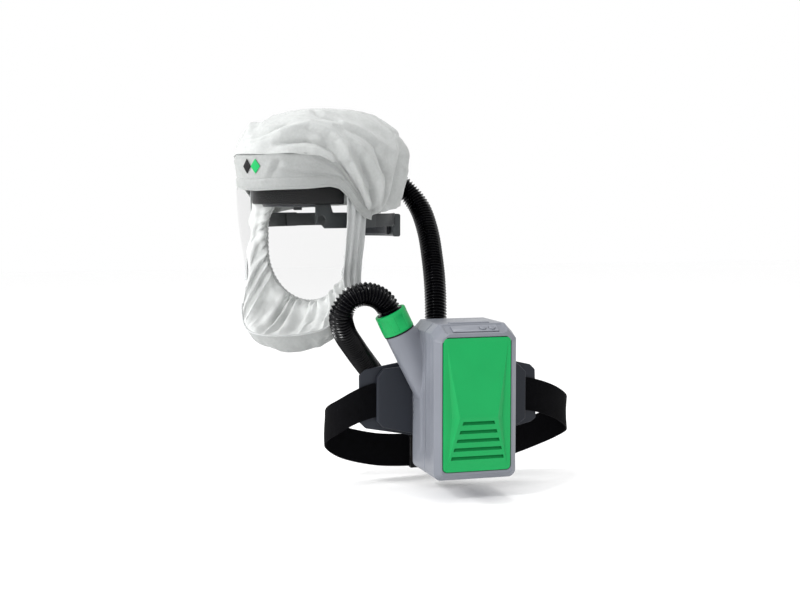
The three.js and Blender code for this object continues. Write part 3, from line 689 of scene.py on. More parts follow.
def add_front_housing(palette):
    rings = housing_rings([(SEAM - along, inset) for along, inset in SEAM_LIP])
    rings += housing_rings([(y, 0) for y in spaced_steps(SEAM - 3, SLOPE_START + 1, 3)])
    rings += housing_rings([(y, 0) for y in spaced_steps(SLOPE_START, FRONT + CHAMFER + 1.0, 0.8)])
    rings += [front_ring(i / 10) for i in range(11)]
    mouth, inner = mouth_outline(51.6, -94.6, 97.6, 6.6), mouth_outline(58.9, -103.9, 97.9, 6)
    rings += [at_depth(mouth_outline(52.6, -95.6, 98.6, 7.4), FRONT + 0.1),
              at_depth(mouth_outline(51.9, -94.9, 97.9, 7), FRONT + 0.6),
              at_depth(mouth, FRONT + 3), at_depth(mouth, FRONT + 10),
              at_depth(inner, FRONT + 10.5), at_depth(inner, SEAM - 0.15)]
    shell = loft("front_housing_shell", rings, palette["grey"], sharp_angle=32, ring_closed=True)
    finished(shell, "unit", "grey_shell", "front_housing")


def add_rear_housing(palette):
    rings = housing_rings([(SEAM + along, inset) for along, inset in SEAM_LIP])
    rings += housing_rings([(y, 0) for y in spaced_steps(SEAM + 3, BACK - 2.5, 3)])
    rings += housing_rings([(BACK - along, inset) for along, inset in BACK_LIP])
    rings += [at_depth(unit_outline(3.2, TOP), y) for y in (BACK - 5, SEAM + 0.15)]
    shell = loft("rear_housing_shell", rings, palette["grey"], sharp_angle=32, ring_closed=True)
    faces = [at_depth(unit_outline(11.4, TOP), y) for y in (BACK - 0.4, BACK - 2.6)]
    finished(loft("rear_plate", faces, palette["grey"], sharp_angle=32), "unit", "grey_shell")
    add_side_openings(shell)
    finished(shell, "unit", "grey_shell", "rear_housing")


def box_tool(low, high):
    points = [(x, y, z) for x in (low[0], high[0]) for y in (low[1], high[1]) for z in (low[2], high[2])]
    faces = [(0, 1, 3, 2), (4, 6, 7, 5), (0, 4, 5, 1), (2, 3, 7, 6), (0, 2, 6, 4), (1, 5, 7, 3)]
    return mesh_object("tool", np.array(points) * MM, faces, bpy.data.materials[0], smooth=False)


def carve(piece, tools):
    for tool in tools:
        boolean = piece.modifiers.new("cut", "BOOLEAN")
        boolean.operation = "DIFFERENCE"
        boolean.solver = "EXACT"
        boolean.object = tool
    bake_modifiers(piece)
    for tool in tools:
        bpy.data.objects.remove(tool)
    piece.data.set_sharp_from_angle(angle=math.radians(32))


SLIT_COUNT, SLIT_TOP, SLIT_PITCH, SLIT_REACH = 5, 4, 9, 2.6


def add_side_openings(shell):
    """The battery window and latch hole on one side, a row of alarm slits on the other."""
    tools = []
    for node in ("battery_pack", "battery_latch"):
        low, high = (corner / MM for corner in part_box(node))
        tools.append(box_tool((50, low.y - 0.5, low.z - 0.5), (65, high.y + 0.5, high.z + 0.5)))
    for z in (SLIT_TOP - SLIT_PITCH * i for i in range(SLIT_COUNT)):
        tools.append(box_tool((-65, -38.5, z - SLIT_REACH), (-56.2, -35.0, z + SLIT_REACH)))
    carve(shell, tools)


def collar_frame():
    """The collar's axis, its foot on the duct, and two directions across it."""
    axis = Vector(JOINTS["collar_turn"]["axis"])
    return axis, Vector(JOINTS["collar_turn"]["pos_m"]) / MM, Vector((axis.z, 0, -axis.x)), Vector((0, 1, 0))


DUCT_SIDES, DUCT_MOUTH, DUCT_BORE, SPIGOT_RADIUS, SPIGOT_LENGTH = 48, 22.3, 13.6, 16.6, 15.0
DUCT_RINGS, DUCT_LENGTH, WALL_DEPTH = 14, 118.0, 1.4
# The opening's middle height, half height and half depth, and where the shoulder cuts it off.
ROOT_MIDDLE, ROOT_HALF, ROOT_DEPTH, SHOULDER_START, SHOULDER_SLOPE = 52, 55, 22.6, 101, 0.9


def duct_root(depth):
    """A tall rounded opening on the side wall, reaching up to the shoulder."""
    points = []
    for i in range(DUCT_SIDES):
        angle = 2 * math.pi * i / DUCT_SIDES
        across, up = math.cos(angle), math.sin(angle)
        z = ROOT_MIDDLE + ROOT_HALF * math.copysign(abs(across) ** 0.9, across)
        y = depth + ROOT_DEPTH * math.copysign(abs(up) ** 0.6, up)
        lean = max(z - SHOULDER_START, 0) * SHOULDER_SLOPE
        points.append(Vector((WALL_DEPTH - HALF_WIDTH + lean, y, z)))
    return points


def add_duct(palette):
    """The outlet duct grows out of the side wall as a cone and ends round under the collar."""
    axis, foot, side, depth = collar_frame()

    def ring(along, radius):
        return circle(foot + axis * along, side, depth, radius, DUCT_SIDES)

    rings = [ring(-0.8, DUCT_MOUTH)]
    for share in (i / DUCT_RINGS for i in range(1, DUCT_RINGS + 1)):
        between = zip(ring(0, DUCT_MOUTH), duct_root(foot.y), ring(-DUCT_LENGTH * share, DUCT_MOUTH))
        ease, bow = share ** 1.15, 0.12 * math.sin(math.pi * share)
        rings.append([mouth.lerp(root, ease).lerp(tube, bow) for mouth, root, tube in between])
    end = SPIGOT_LENGTH + 0.3
    inside = [ring(-0.2, DUCT_MOUTH - 0.8), ring(0, SPIGOT_RADIUS), ring(SPIGOT_LENGTH, SPIGOT_RADIUS),
              ring(end, SPIGOT_RADIUS - 0.4), ring(end, DUCT_BORE), ring(-60, DUCT_BORE)]
    duct = loft("outlet_duct", [*reversed(rings), *inside], palette["grey"], sharp_angle=40)
    finished(duct, "unit", "grey_shell")


COVER_HALF, COVER_LOW, COVER_HIGH, COVER_CORNER = 51.0, -94.0, 97.0, 6.0
COVER_SKIN, COVER_CREST, COVER_BACK = -143.6, -151.0, -140.2
WAIST_Z, RIDGE_LOW, RIDGE_HIGH = -16.0, -88.0, 90.0
SLOT_TOP, SLOT_PITCH, SLOT_COUNT, SLOT_HALF = -24.0, 12.6, 5, 2.5


def waist_share(z):
    """1 at the raised waist, 0 where the two planes meet the skin at the top and the foot."""
    if z > WAIST_Z:
        return max((RIDGE_HIGH - z) / (RIDGE_HIGH - WAIST_Z), 0)
    return max((z - RIDGE_LOW) / (WAIST_Z - RIDGE_LOW), 0)


def ridge_half(z, waist):
    """Half width of the raised part at a height, from its width at the waist."""
    end = 46.0 if z > WAIST_Z else 45.0
    return end + (waist - end) * waist_share(z)


def slot_at(z):
    """How far up a slot this height is, from 0 to 1, or None between slots."""
    for i in range(SLOT_COUNT):
        share = (z - (SLOT_TOP - SLOT_PITCH * i) + SLOT_HALF) / (2 * SLOT_HALF)
        if 0.02 < share < 0.98:
            return share
    return None


def cover_rows():
    rows = []
    for end, way in ((COVER_LOW, 1), (COVER_HIGH, -1)):
        rows += [end + way * COVER_CORNER * (1 - math.cos(math.radians(a))) for a in (12, 30, 48, 66, 90)]
    for i in range(SLOT_COUNT):
        z = SLOT_TOP - SLOT_PITCH * i
        for reach in (SLOT_HALF + 0.35, SLOT_HALF, SLOT_HALF - 0.15):
            rows += [z - reach, z + reach]
        rows += [z - 1.2, z, z + 1.2]
    rows += [WAIST_Z - 0.7, WAIST_Z, WAIST_Z + 0.7, RIDGE_HIGH - 0.8, RIDGE_HIGH, RIDGE_LOW]
    rows += [WAIST_Z + 11.5 * i for i in range(1, 9)]
    return sorted(set(round(z, 3) for z in rows))


def cover_half(z):
    """The cover's half width, which closes in round its four corners."""
    near = min(z - COVER_LOW, COVER_HIGH - z)
    if near >= COVER_CORNER:
        return COVER_HALF
    return COVER_HALF - COVER_CORNER + math.sqrt(max(COVER_CORNER ** 2 - (COVER_CORNER - near) ** 2, 0))


def cover_profile(z):
    raised = COVER_SKIN + (COVER_CREST - COVER_SKIN) * waist_share(z)
    crest, foot, half = ridge_half(z, 29.0), ridge_half(z, 38.0), cover_half(z)
    foot = min(foot, half - 2.6)
    crest = min(crest, foot - 0.4)
    slot = min(max(24 + 4 * (SLOT_TOP - z) / SLOT_PITCH, 9.0), crest - 2.5)
    share = slot_at(z)
    floor = raised if share is None else min(raised + 1.3 + 2.6 * share, COVER_BACK - 0.5)
    return [(0, floor), (slot * 0.5, floor), (slot - 0.15, floor), (slot, raised), (slot + 0.5, raised),
            (crest - 0.5, raised), (crest + 0.3, raised * 0.94 + COVER_SKIN * 0.06), (foot, COVER_SKIN),
            (half - 1.7, COVER_SKIN), (half - 0.6, COVER_SKIN + 0.35), (half, COVER_SKIN + 1.5)]


def add_filter_cover(palette):
    """The green cover: two planes folded at a raised waist, side facets and five air slots."""
    points = []
    for z in cover_rows():
        half = cover_profile(z)
        points.append([(-x, y, z) for x, y in reversed(half[1:])] + [(x, y, z) for x, y in half])
    columns = len(points[0])
    for end, row in ((COVER_LOW, points[0]), (COVER_HIGH, points[-1])):
        edge = [(x, COVER_SKIN + 1.5, end) for x, _, _ in row]
        points = [edge, *points] if end == COVER_LOW else [*points, edge]
    flat = [point for row in points for point in row]
    faces = []
    for i in range(len(points) - 1):
        for j in range(columns - 1):
            a = i * columns + j
            faces.append((a, a + 1, a + columns + 1, a + columns))
    rim = list(range(columns))
    rim += [i * columns + columns - 1 for i in range(1, len(points))]
    rim += [(len(points) - 1) * columns + j for j in range(columns - 2, -1, -1)]
    rim += [i * columns for i in range(len(points) - 2, 0, -1)]
    start = len(flat)
    flat += [(flat[i][0], COVER_BACK, flat[i][2]) for i in rim]
    for k in range(len(rim)):
        n = (k + 1) % len(rim)
        faces.append((rim[n], rim[k], start + k, start + n))
    faces.append(tuple(range(start, start + len(rim))))
    cover = mesh_object("filter_cover_skin", np.array(flat) * MM, faces, palette["green"], sharp_angle=16)
    # Faces down in the slots take the darker green: painted shade for the shadow inside each slot.
    cover.data.materials.append(palette["slot"])
    for face in cover.data.polygons:
        x, y, z = (value / MM for value in face.center)
        slot_end, raised = cover_profile(z)[3]
        if slot_at(z) is not None and y > raised + 0.6 and abs(x) < slot_end:
            face.material_index = 1
    finished(cover, "filter_door", "green_shell", "filter_cover")


def add_top_panel(palette):
    """A raised band on the top and the display window with two keys on the slope."""
    ring = []
    for inset, high in ((0, TOP - 0.6), (0.2, TOP + 1.2), (1.4, TOP + 2.0), (5, TOP + 2.0)):
        low_x, high_x, near, far = -34 + inset, 28 - inset, -116.5 + inset * 0.6, -106.5 - inset * 0.6
        outline = rounded_rectangle((high_x - low_x) / 2, (far - near) / 2, 1.8)
        ring.append([((low_x + high_x) / 2 + x, (near + far) / 2 + y, high) for x, y in outline])
    lip = loft("top_lip", ring, palette["grey"], sharp_angle=50)
    finished(lip, "unit", "grey_shell")
    dressed("control_panel", "unit", palette["pale"], 0.35)
    dressed("power_button", "power_key", palette["grey"], 0.4)
    dressed("speed_button", "speed_key", palette["grey"], 0.4)


COLLAR_PROFILE = [(19.0, 2.2), (19.6, 1.7), (22.8, 1.7), (23.4, 2.1), (23.6, 2.8), (23.6, 6.0), (23.2, 6.6),
                  (23.2, 25.6), (23.6, 26.2), (23.6, 31.4), (23.1, 32.6), (22.4, 33.0), (19.6, 33.0),
                  (19.0, 32.4)]
SEAL_PROFILE = [(17.4, -0.6), (22.6, -0.6), (23.0, -0.2), (23.0, 1.0), (22.6, 1.4), (17.4, 1.4)]
GRIP_LIFT, GRIP_SHARE, GRIP_STEPS, COLLAR_STEPS = 0.9, 0.36, 24, 144


def add_collar(palette):
    """The locking collar with its raised grips, and the seal ring under it."""
    axis, foot, side, depth = collar_frame()

    def turned(name, profile, count, look, sharp_angle, grips):
        rings = []
        for radius, along in profile:
            held = grips and 6.4 < along < 26 and radius > 22
            reach = [radius + (GRIP_LIFT if held and i % GRIP_STEPS < GRIP_SHARE * GRIP_STEPS else 0)
                     for i in range(count)]
            rings.append(circle(foot + axis * along, side, depth, reach.__getitem__, count))
        return loft(name, rings, palette[look], sharp_angle=sharp_angle, ring_closed=True)

    collar = turned("hose_collar_ring", COLLAR_PROFILE, COLLAR_STEPS, "green", 35, True)
    finished(collar, "collar", "green_shell", "hose_collar")
    seal = turned("collar_seal_ring", SEAL_PROFILE, 48, "seal", 50, False)
    finished(seal, "unit", "hose_rubber", "outlet_seal")


# ---- belt and plates ----------------------------------------------------------------
BELT_LEFT = [
    (-65, -19.5, -3), (-90, -19.5, -3), (-116, -20, -5), (-143, -19.5, -13), (-168, -4, -30),
    (-180, 22, -45), (-178, 42, -58), (-164, 56, -72), (-140, 63, -84), (-92, 66.5, -96),
    (-62, 67, -99), (-37, 67, -100),
]
BELT_RIGHT = [
    (65, -19.5, -4), (92, -19.5, -4), (120, -20, -5), (150, -17, -12), (181, -4, -25),
    (204, 14, -40), (212, 34, -52), (205, 50, -63), (186, 58, -73), (150, 62, -86),
    (105, 60, -97), (75, 58.5, -100), (45, 58.5, -100), (12, 58.5, -100),
]
BELT_WIDTH, BELT_THICKNESS = 51.0, 2.3


def add_belt(name, route, node, seed, palette):
    path, length = smooth_curve(route, 150)

    def surface(s, t):
        at = s * (len(path) - 1)
        i = min(int(at), len(path) - 2)
        return path[i] + (path[i + 1] - path[i]) * (at - i) + np.array((0, 0, (t - 0.5) * BELT_WIDTH))

    def relief(s, t):
        loose = math.sin(math.pi * clamp((s - 0.12) / 0.76))
        cup = 1.3 * (abs(2 * t - 1) ** 2 - 0.5)
        return loose * (cup + 1.6 * wobble(s * 9, t * 1.4, seed))

    belt = thick_sheet(name, surface, 170, 12, BELT_THICKNESS, palette["webbing"], relief=relief)
    finished(belt, "unit", "webbing", node)


def add_back(palette):
    dressed("back_plate", "unit", palette["slate"], 1.6, 3)
    dressed("belt_panel", "unit", palette["slate"], 1.4, 3)
    dressed("mounting_bracket", "unit", palette["black"], 0.6)
    pad = dressed("lumbar_pad", "unit", palette["foam"], 2.5, 4)
    for name, body in (("belt_slider", "unit"), ("buckle_female", "unit"), ("buckle_male", "buckle_tongue")):
        dressed(name, body, palette["black"], 0.9, 3)
    dressed("battery_pack", "battery", palette["slate"], 0.9, 3)
    dressed("battery_latch", "latch", palette["green"], 0.7, 3)


# ---- hood cloth ---------------------------------------------------------------------
# Turns are degrees round the hood: 0 is straight ahead and 90 is the wearer's left ear.
CROWN_CENTRE, CROWN_LENGTH, CROWN_WIDTH = 20.5, 153.5, 112.5
CROWN_WAIST, CROWN_RISE = 95.0, 83.0
CROWN_SPLIT = 0.4
GATHER_TURN = 86
VISOR_CENTRE, VISOR_LENGTH, VISOR_WIDTH = 45.0, 132.0, 96.0
CROWN_HEM = [(0, 106), (30, 107), (48, 104), (60, 90), (70, 60), (78, 36), (86, 15), (95, 21), (112, 27),
             (135, 30), (180, 34)]
BAND_LOW = [(0, 54), (40, 57), (54, 60), (60, 57), (66, 46), (73, 27), (80, 15), (87, 11)]
BAND_HIGH = [(0, 112), (14, 111), (30, 110), (48, 106), (60, 93), (70, 64), (78, 41), (87, 21)]
# Each fold runs through (turn, height) points and has a width and a height in millimetres.
FOLD_DEPTH = 1.55
FOLDS = [
    ([(14, 116), (25, 123), (39, 127), (52, 117)], 6, -4.0),
    ([(8, 128), (22, 138), (39, 147), (54, 137), (64, 116)], 8, 5.0),
    ([(51, 128), (62, 92), (72, 54), (82, 22)], 6, -5.5),
    ([(58, 128), (68, 94), (77, 54), (85, 22)], 6, 5.0),
    ([(66, 92), (76, 46), (84, 18)], 4, -2.5),
    ([(75, 100), (84, 62), (87, 24)], 5, -5.5),
    ([(67, 132), (79, 108), (90, 74), (92, 30)], 7, 5.5),
    ([(88, 112), (95, 78), (94, 34)], 5, -4.0),
    ([(106, 155), (105, 126), (101, 80), (96, 36)], 8, 4.5),
    ([(99, 70), (100, 48), (97, 24)], 4, -3.5),
    ([(118, 124), (111, 80), (104, 36)], 7, -4.5),
    ([(128, 140), (124, 96), (116, 48)], 9, 4.0),
    ([(146, 130), (140, 84), (132, 40)], 7, -3.5),
    ([(160, 150), (164, 104), (160, 60)], 10, 3.5),
    ([(36, 174), (48, 162), (62, 156)], 6, -3.0),
    ([(4, 158), (37, 152), (60, 146)], 7, 3.0),
    ([(-18, 128), (0, 133), (18, 147)], 6, -3.0),
]
CREASES = [
    ([(53, 134), (57, 119), (61, 108)], 4.5, -2.6), ([(72, 128), (79, 112), (83, 101), (88, 84)], 5, -3.0),
    ([(50, 106), (59, 90), (65, 70)], 4, -2.2), ([(75, 100), (78, 74), (80, 48)], 4.5, -2.6),
    ([(107, 132), (108, 112), (109, 92)], 5, -2.4), ([(10, 119), (23, 124), (37, 128), (50, 122)], 4, -2.2),
    ([(110, 152), (125, 140), (136, 126)], 5, -2.2), ([(34, 142), (46, 137), (58, 124)], 4.5, -2.4),
    ([(87, 116), (91, 86), (96, 58)], 4.5, -2.4), ([(-14, 120), (4, 124), (17, 134)], 4, -2.2),
    ([(63, 146), (74, 138), (88, 119)], 4.5, -2.4),
]
# The far side repeats most of the folds, a little nearer the front and higher.
FAR_FOLDS = [([(-turn * 0.97, high + 3) for turn, high in points], wide, tall)
             for points, wide, tall in FOLDS[1:14]]
BAND_FOLDS = [
    ([(9, 74), (12, 84), (15, 95)], 5, 1.8), ([(14, 72), (18, 84), (21, 94)], 4, -2.0),
    ([(19, 84), (39, 77), (64, 70)], 4, -2.2), ([(24, 90), (42, 83), (62, 76)], 5, 2.4),
    ([(34, 102), (55, 86), (67, 64), (76, 38)], 5, 3.0), ([(40, 106), (58, 92), (70, 62)], 4, -2.2),
    ([(-14, 78), (-24, 92), (-36, 100)], 6, 2.0),
]


def soft_between(value, stops):
    """Reads a smooth curve through (place, height) stops."""
    xs, ys = [stop[0] for stop in stops], [stop[1] for stop in stops]
    value = min(max(value, xs[0]), xs[-1])
    i = min(max(sum(1 for x in xs if x <= value) - 1, 0), len(xs) - 2)

    def slope(k):
        low, high = max(k - 1, 0), min(k + 1, len(xs) - 1)
        return (ys[high] - ys[low]) / (xs[high] - xs[low])

    width = xs[i + 1] - xs[i]
    t = (value - xs[i]) / width
    a, b = slope(i) * width, slope(i + 1) * width
    return ((2 * t ** 3 - 3 * t ** 2 + 1) * ys[i] + (t ** 3 - 2 * t ** 2 + t) * a
            + (3 * t ** 2 - 2 * t ** 3) * ys[i + 1] + (t ** 3 - t ** 2) * b)


def straight_between(value, stops):
    return float(np.interp(value, [stop[0] for stop in stops], [stop[1] for stop in stops]))


def turn_of(angle):
    return math.degrees(math.atan2(math.sin(angle), math.cos(angle)))


def crown_at(turn, height):
    """The crown before it is creased: a drum that draws in at the foot, under a dome."""
    angle = math.radians(turn)
    if height < CROWN_WAIST:
        reach = 1 - 0.13 * (max(CROWN_WAIST - height, 0) / 90) ** 1.5
    else:
        lift = math.asin(min((height - CROWN_WAIST) / CROWN_RISE, 1))
        front = max(math.cos(angle + math.radians(41)), 0)
        reach = max(math.cos(lift), 0) ** (0.72 + 0.22 * front)
    return (CROWN_CENTRE + CROWN_LENGTH * reach * math.cos(angle),
            CROWN_WIDTH * reach * math.sin(angle), height)


def crown_height(turn, t):
    if t < CROWN_SPLIT:
        hem = straight_between(abs(turn), CROWN_HEM)
        return hem + (CROWN_WAIST + 14 - hem) * t / CROWN_SPLIT
    low = math.asin(14 / CROWN_RISE)
    lift = low + (math.pi / 2 - low) * (t - CROWN_SPLIT) / (1 - CROWN_SPLIT)
    return CROWN_WAIST + CROWN_RISE * math.sin(lift)


def crown_surface(s, t):
    turn = turn_of(2 * math.pi * s)
    return crown_at(turn, crown_height(turn, t))


def distance_to_line(points, line):
    """The least distance from each of the points to a line of straight pieces."""
    best = np.full(points.shape[:-1], 1e9)
    for a, b in zip(line, line[1:]):
        along = b - a
        share = np.clip(((points - a) @ along) / (along @ along), 0, 1)
        best = np.minimum(best, np.linalg.norm(points - (a + share[..., None] * along), axis=-1))
    return best


def fold_lift(points, folds, roundness=1.5):
    """Adds up the ridges and creases, each fading towards its first point."""
    lift = np.zeros(points.shape[:-1])
    for stops, width, height in folds:
        places = np.linspace(0, 1, len(stops))
        turns, heights = zip(*stops)
        fine = [np.array(crown_at(np.interp(k / 12, places, turns), np.interp(k / 12, places, heights)))
                for k in range(13)]
        gap = distance_to_line(points, fine)
        ends = np.minimum(np.linalg.norm(points - fine[0], axis=-1), 22) / 22
        lift += FOLD_DEPTH * height * (0.35 + 0.65 * ends) * np.exp(-np.abs(gap / width) ** roundness)
    return lift


def turn_at(u, v):
    return math.degrees(math.atan2(v / CROWN_WIDTH, (u - CROWN_CENTRE) / CROWN_LENGTH))


def crown_relief_grid(points):
    """Folds, creases and puckers, with the cloth pinched where it gathers over each ear."""
    lift = fold_lift(points, FOLDS + FAR_FOLDS) + fold_lift(points, CREASES, 1.0)
    for index in np.ndindex(points.shape[:-1]):
        u, v, w = points[index]
        turn = turn_at(u, v)
        over_hem = w - straight_between(abs(turn), CROWN_HEM)
        soft = 2.6 * wobble(u * 0.026, v * 0.026, w * 0.034 + 2)
        fine = 1.3 * wobble(u * 0.07 + 3, v * 0.07, w * 0.05)
        sharp = 2.2 * (0.5 - abs(wobble(u * 0.022 - w * 0.02, v * 0.022, w * 0.022 + 9)) * 2.4)
        puff = math.exp(-(turn / 58) ** 6) * (2.6 * bell(over_hem - 10, 10) + 0.3 * bell(over_hem, 5))
        past_ear = abs(turn) - GATHER_TURN
        gap = math.hypot(past_ear * 1.9, w - 15)
        gathers = 2.4 * bell(gap, 34) * math.sin(math.atan2(past_ear, (w - 9) / 1.9) * 13)
        apex = clamp((CROWN_WAIST + CROWN_RISE - w) / 6)
        lift[index] = (lift[index] + soft + fine + sharp + puff + gathers) * apex - 6.0 * bell(gap, 13)
    return lift


def band_point(turn, height, inset=2.6):
    angle = math.radians(turn)
    reach = 1 - 0.12 * (max(90 - height, 0) / 90) ** 1.5
    lean = max(height - 95, 0) * 0.02
    return (CROWN_CENTRE + (CROWN_LENGTH - inset - lean) * reach * math.cos(angle),
            (CROWN_WIDTH - inset - lean) * reach * math.sin(angle), height)


def brow_surface(s, t):
    turn = -87 + 174 * s
    low = straight_between(abs(turn), BAND_LOW)
    high = straight_between(abs(turn), BAND_HIGH)
    return band_point(turn, low + (high - low) * t)


def brow_relief_grid(points):
    """A hem with its stitching along the lower edge, and soft folds that fade under the crown."""
    lift = fold_lift(points, BAND_FOLDS)
    for index in np.ndindex(points.shape[:-1]):
        u, v, w = points[index]
        turn = turn_at(u, v)
        above = w - straight_between(abs(turn), BAND_LOW)
        hem = 0.9 / (1 + math.exp((above - 16) / 0.7)) - 0.9 * bell(above - 16.5, 1.3)
        hem -= 0.6 * bell(above - 3.2, 0.9)
        stitch = 0.35 * bell(above - 14.2, 0.8) * math.cos(turn * 3.6)
        loose = min(max((abs(turn) - 12) / 25, 0.25), 1)
        soft = loose * 1.6 * wobble(u * 0.04, v * 0.04, w * 0.05)
        tucked = clamp((straight_between(abs(turn), CROWN_HEM) + 1 - w) / 11)
        lift[index] = (lift[index] + soft) * tucked + hem + stitch
    return lift


# The plain lozenges on the brow: turn and colour, then a height and half size in millimetres.
BROW_MARKS = [(-7.5, "black"), (1.5, "green")]
MARK_HEIGHT, MARK_SIZE = 89.0, 10.5
VISOR_REACH = [(-60, 1.0), (-20, 0.985), (20, 0.945), (52, 0.9), (76, 0.876), (96, 0.905), (116, 0.945),
               (134, 0.94), (150, 0.9), (166, 0.81), (210, 0.74)]
FAR_EDGE = [(-60, -75), (-25, -74), (22, -70), (76, -48), (116, -43), (200, -42)]
LENS_FOOT = [(0, -88), (0.12, -124), (0.3, -152), (0.7, -155), (0.85, -143), (1.0, -92)]
NEAR_EDGE = 79.0


def visor_point(turn, height, inset=0.0):
    reach = soft_between(-height, VISOR_REACH)
    angle = math.radians(turn)
    return (VISOR_CENTRE + (VISOR_LENGTH - inset) * reach * math.cos(angle),
            (VISOR_WIDTH - inset) * reach * math.sin(angle), height)


def lens_surface(s, t):
    foot = soft_between(s, LENS_FOOT)
    height = foot + (57 - foot) * t
    far = soft_between(-height, FAR_EDGE)
    return visor_point(far + (NEAR_EDGE - far) * s, height, 0.4)


def lens_relief(s, t):
    return 1.4 * wobble(s * 3.0, t * 2.2, 5.0) * math.sin(math.pi * s)


# The bib meets the visor along (share, turn, height) stops, from the near temple round to the far one.
BIB = [(0, 90, 50), (0.17, 84, -64), (0.24, 78, -108), (0.32, 63, -143), (0.42, 40, -154), (0.5, 20, -156),
       (0.58, -2, -156), (0.66, -22, -152), (0.73, -36, -142), (0.79, -42, -120), (0.85, -47, -76),
       (0.92, -69, -22), (0.97, -73, 25), (1, -74, 58)]
OPEN_FORWARD, OPEN_WIDTH, OPEN_HEIGHT, OPEN_MIDDLE, OPEN_TOP = 55.0, 82.0, 83.0, -30.0, 46.0
TEMPLE = 0.17
FAR_SWAY = np.array((38.0, 32.0, 0.0))


def opening_edge(s):
    fold = -1 if s > 0.5 else 1
    share = min(s, 1 - s) / TEMPLE
    sway = FAR_SWAY * bump_step(s, 0.5, 2, 0.3)
    if share < 1:
        height = OPEN_TOP + (OPEN_MIDDLE - OPEN_TOP) * share
        tuck = 30 * max(height / OPEN_TOP, 0) ** 1.8 if fold < 0 else 0
        return np.array((OPEN_FORWARD, fold * (OPEN_WIDTH - tuck), height)) + sway
    sweep = math.pi * (s - TEMPLE) / (1 - 2 * TEMPLE)
    low = OPEN_MIDDLE - OPEN_HEIGHT * math.sin(sweep)
    return np.array((OPEN_FORWARD, OPEN_WIDTH * math.cos(sweep), low)) + sway


def bib_edge(s):
    turn = soft_between(s, [(stop[0], stop[1]) for stop in BIB])
    height = soft_between(s, [(stop[0], stop[2]) for stop in BIB])
    return np.array(visor_point(turn, height, 1.6))


def bib_surface(s, t):
    inner, outer = opening_edge(s), bib_edge(s)
    bottom = math.sin(math.pi * s) ** 2
    far_top = straight_between(s, [(0.74, 0), (0.9, 1)])
    sag = (inner + outer) / 2 + np.array((4.0 * bottom + 34.0 * far_top, 0.0, -15.0 * bottom - 2))
    return inner * (1 - t) ** 2 + sag * 2 * t * (1 - t) + outer * t * t


def bib_relief(s, t):
    """Ruffles at the elastic run out into long gathers that fade before the seam."""
    drift = 2.2 * wobble(s * 9, 0.3, 1.0)
    fine = math.sin(2 * math.pi * (34 * s + drift))
    broad = math.sin(2 * math.pi * (17 * s + 0.5 * drift + 0.2 + 0.25 * t))
    sharp = 1 - 2 * abs(math.sin(math.pi * (13 * s + 0.7 * drift + 0.3 * t)))
    ruffle = 3.4 * bell(t, 0.16) * fine * min(t / 0.06, 1) + 4.6 * bell(t - 0.28, 0.3) * broad
    ruffle += 2.4 * sharp * min(t * 5, 1)
    rough = 3.0 * wobble(s * 30, t * 4, 4.0) * min(t * 4, 1)
    return (5.5 * bell(t - 0.12, 0.09) + ruffle + rough) * min((1 - t) / 0.12, 1)


def bag_surface(s, t):
    """The smooth chin piece folds under from the seam towards the throat."""
    along = 0.2 + 0.6 * s
    start = bib_edge(along)
    hang = math.sin(math.pi * s) ** 0.6
    middle = start + np.array((-16.0, 6.0 * hang, -42.0 * hang))
    end = np.array((start[0] * 0.35 + 34, start[1] * 0.66, start[2] - 14 * hang))
    return start * (1 - t) ** 2 + middle * 2 * t * (1 - t) + end * t * t


def bag_relief(s, t):
    return (2.6 * wobble(s * 7, t * 2, 9.0) + 1.4 * wobble(s * 22, t * 3, 2.0)) * min(t * 5, 1)


def strip_surface(near):
    def surface(s, t):
        low, high = (-88.0, 56.0) if near else (-80.0, 56.0)
        height = low + (high - low) * t
        inner = NEAR_EDGE - 3 if near else soft_between(-height, FAR_EDGE) + 2
        return visor_point(inner + (18 if near else -16) * s, height, -1.2)
    return surface


def strip_relief(s, t):
    return 1.9 * math.cos(2 * math.pi * 3 * s + 0.6 * math.sin(t * 5)) + 1.6 * wobble(s * 3, t * 4, 6.0)


def tube_along(name, points, samples, radius, material, ripple=0.0):
    path, _ = smooth_curve(points, samples)
    rings = [circle(centre, side, up, radius + ripple * math.sin(i * 0.9), 10)
             for i, (centre, side, up) in enumerate(zip(path, *frames_along(path)))]
    return into_hood(loft(name, rings, material, sharp_angle=80))


def add_hood_cloth(palette):
    def add(name, surface, columns, rows, thickness, look, node, **relief):
        cloth = thick_sheet(name, surface, columns, rows, thickness, palette[look], place=HOOD, **relief)
        return finished(cloth, "hood", "visor_film" if look == "film" else "hood_cloth", node)

    crown = add("hood_crown_cloth", crown_surface, 400, 112, 1.2, "cloth", "hood_crown", loop=True,
                relief_grid=crown_relief_grid)
    # The brow band wears the darker cloth: painted shade.
    brow = add("brow_band_cloth", brow_surface, 260, 56, 1.2, "shade", "brow_band",
               relief_grid=brow_relief_grid)
    # The face seal wears the brighter cloth: painted light.
    seal = add("face_seal_cloth", lambda s, t: bib_surface(s, 0.015 + 0.985 * t), 520, 44, 1.0, "face",
               "face_seal", relief=bib_relief)
    # The chin bag wears the darker cloth too: painted shade.
    bag = add("chin_bag_cloth", bag_surface, 200, 30, 1.0, "shade", "chin_bag", relief=bag_relief)
    for side, near in (("left", True), ("right", False)):
        strip = add(f"visor_edge_{side}_cloth", strip_surface(near), 36, 60, 1.4, "strip",
                    f"visor_edge_{side}", relief=strip_relief)
    add("visor_lens_film", lens_surface, 80, 60, 0.6, "film", "visor_lens", relief=lens_relief)


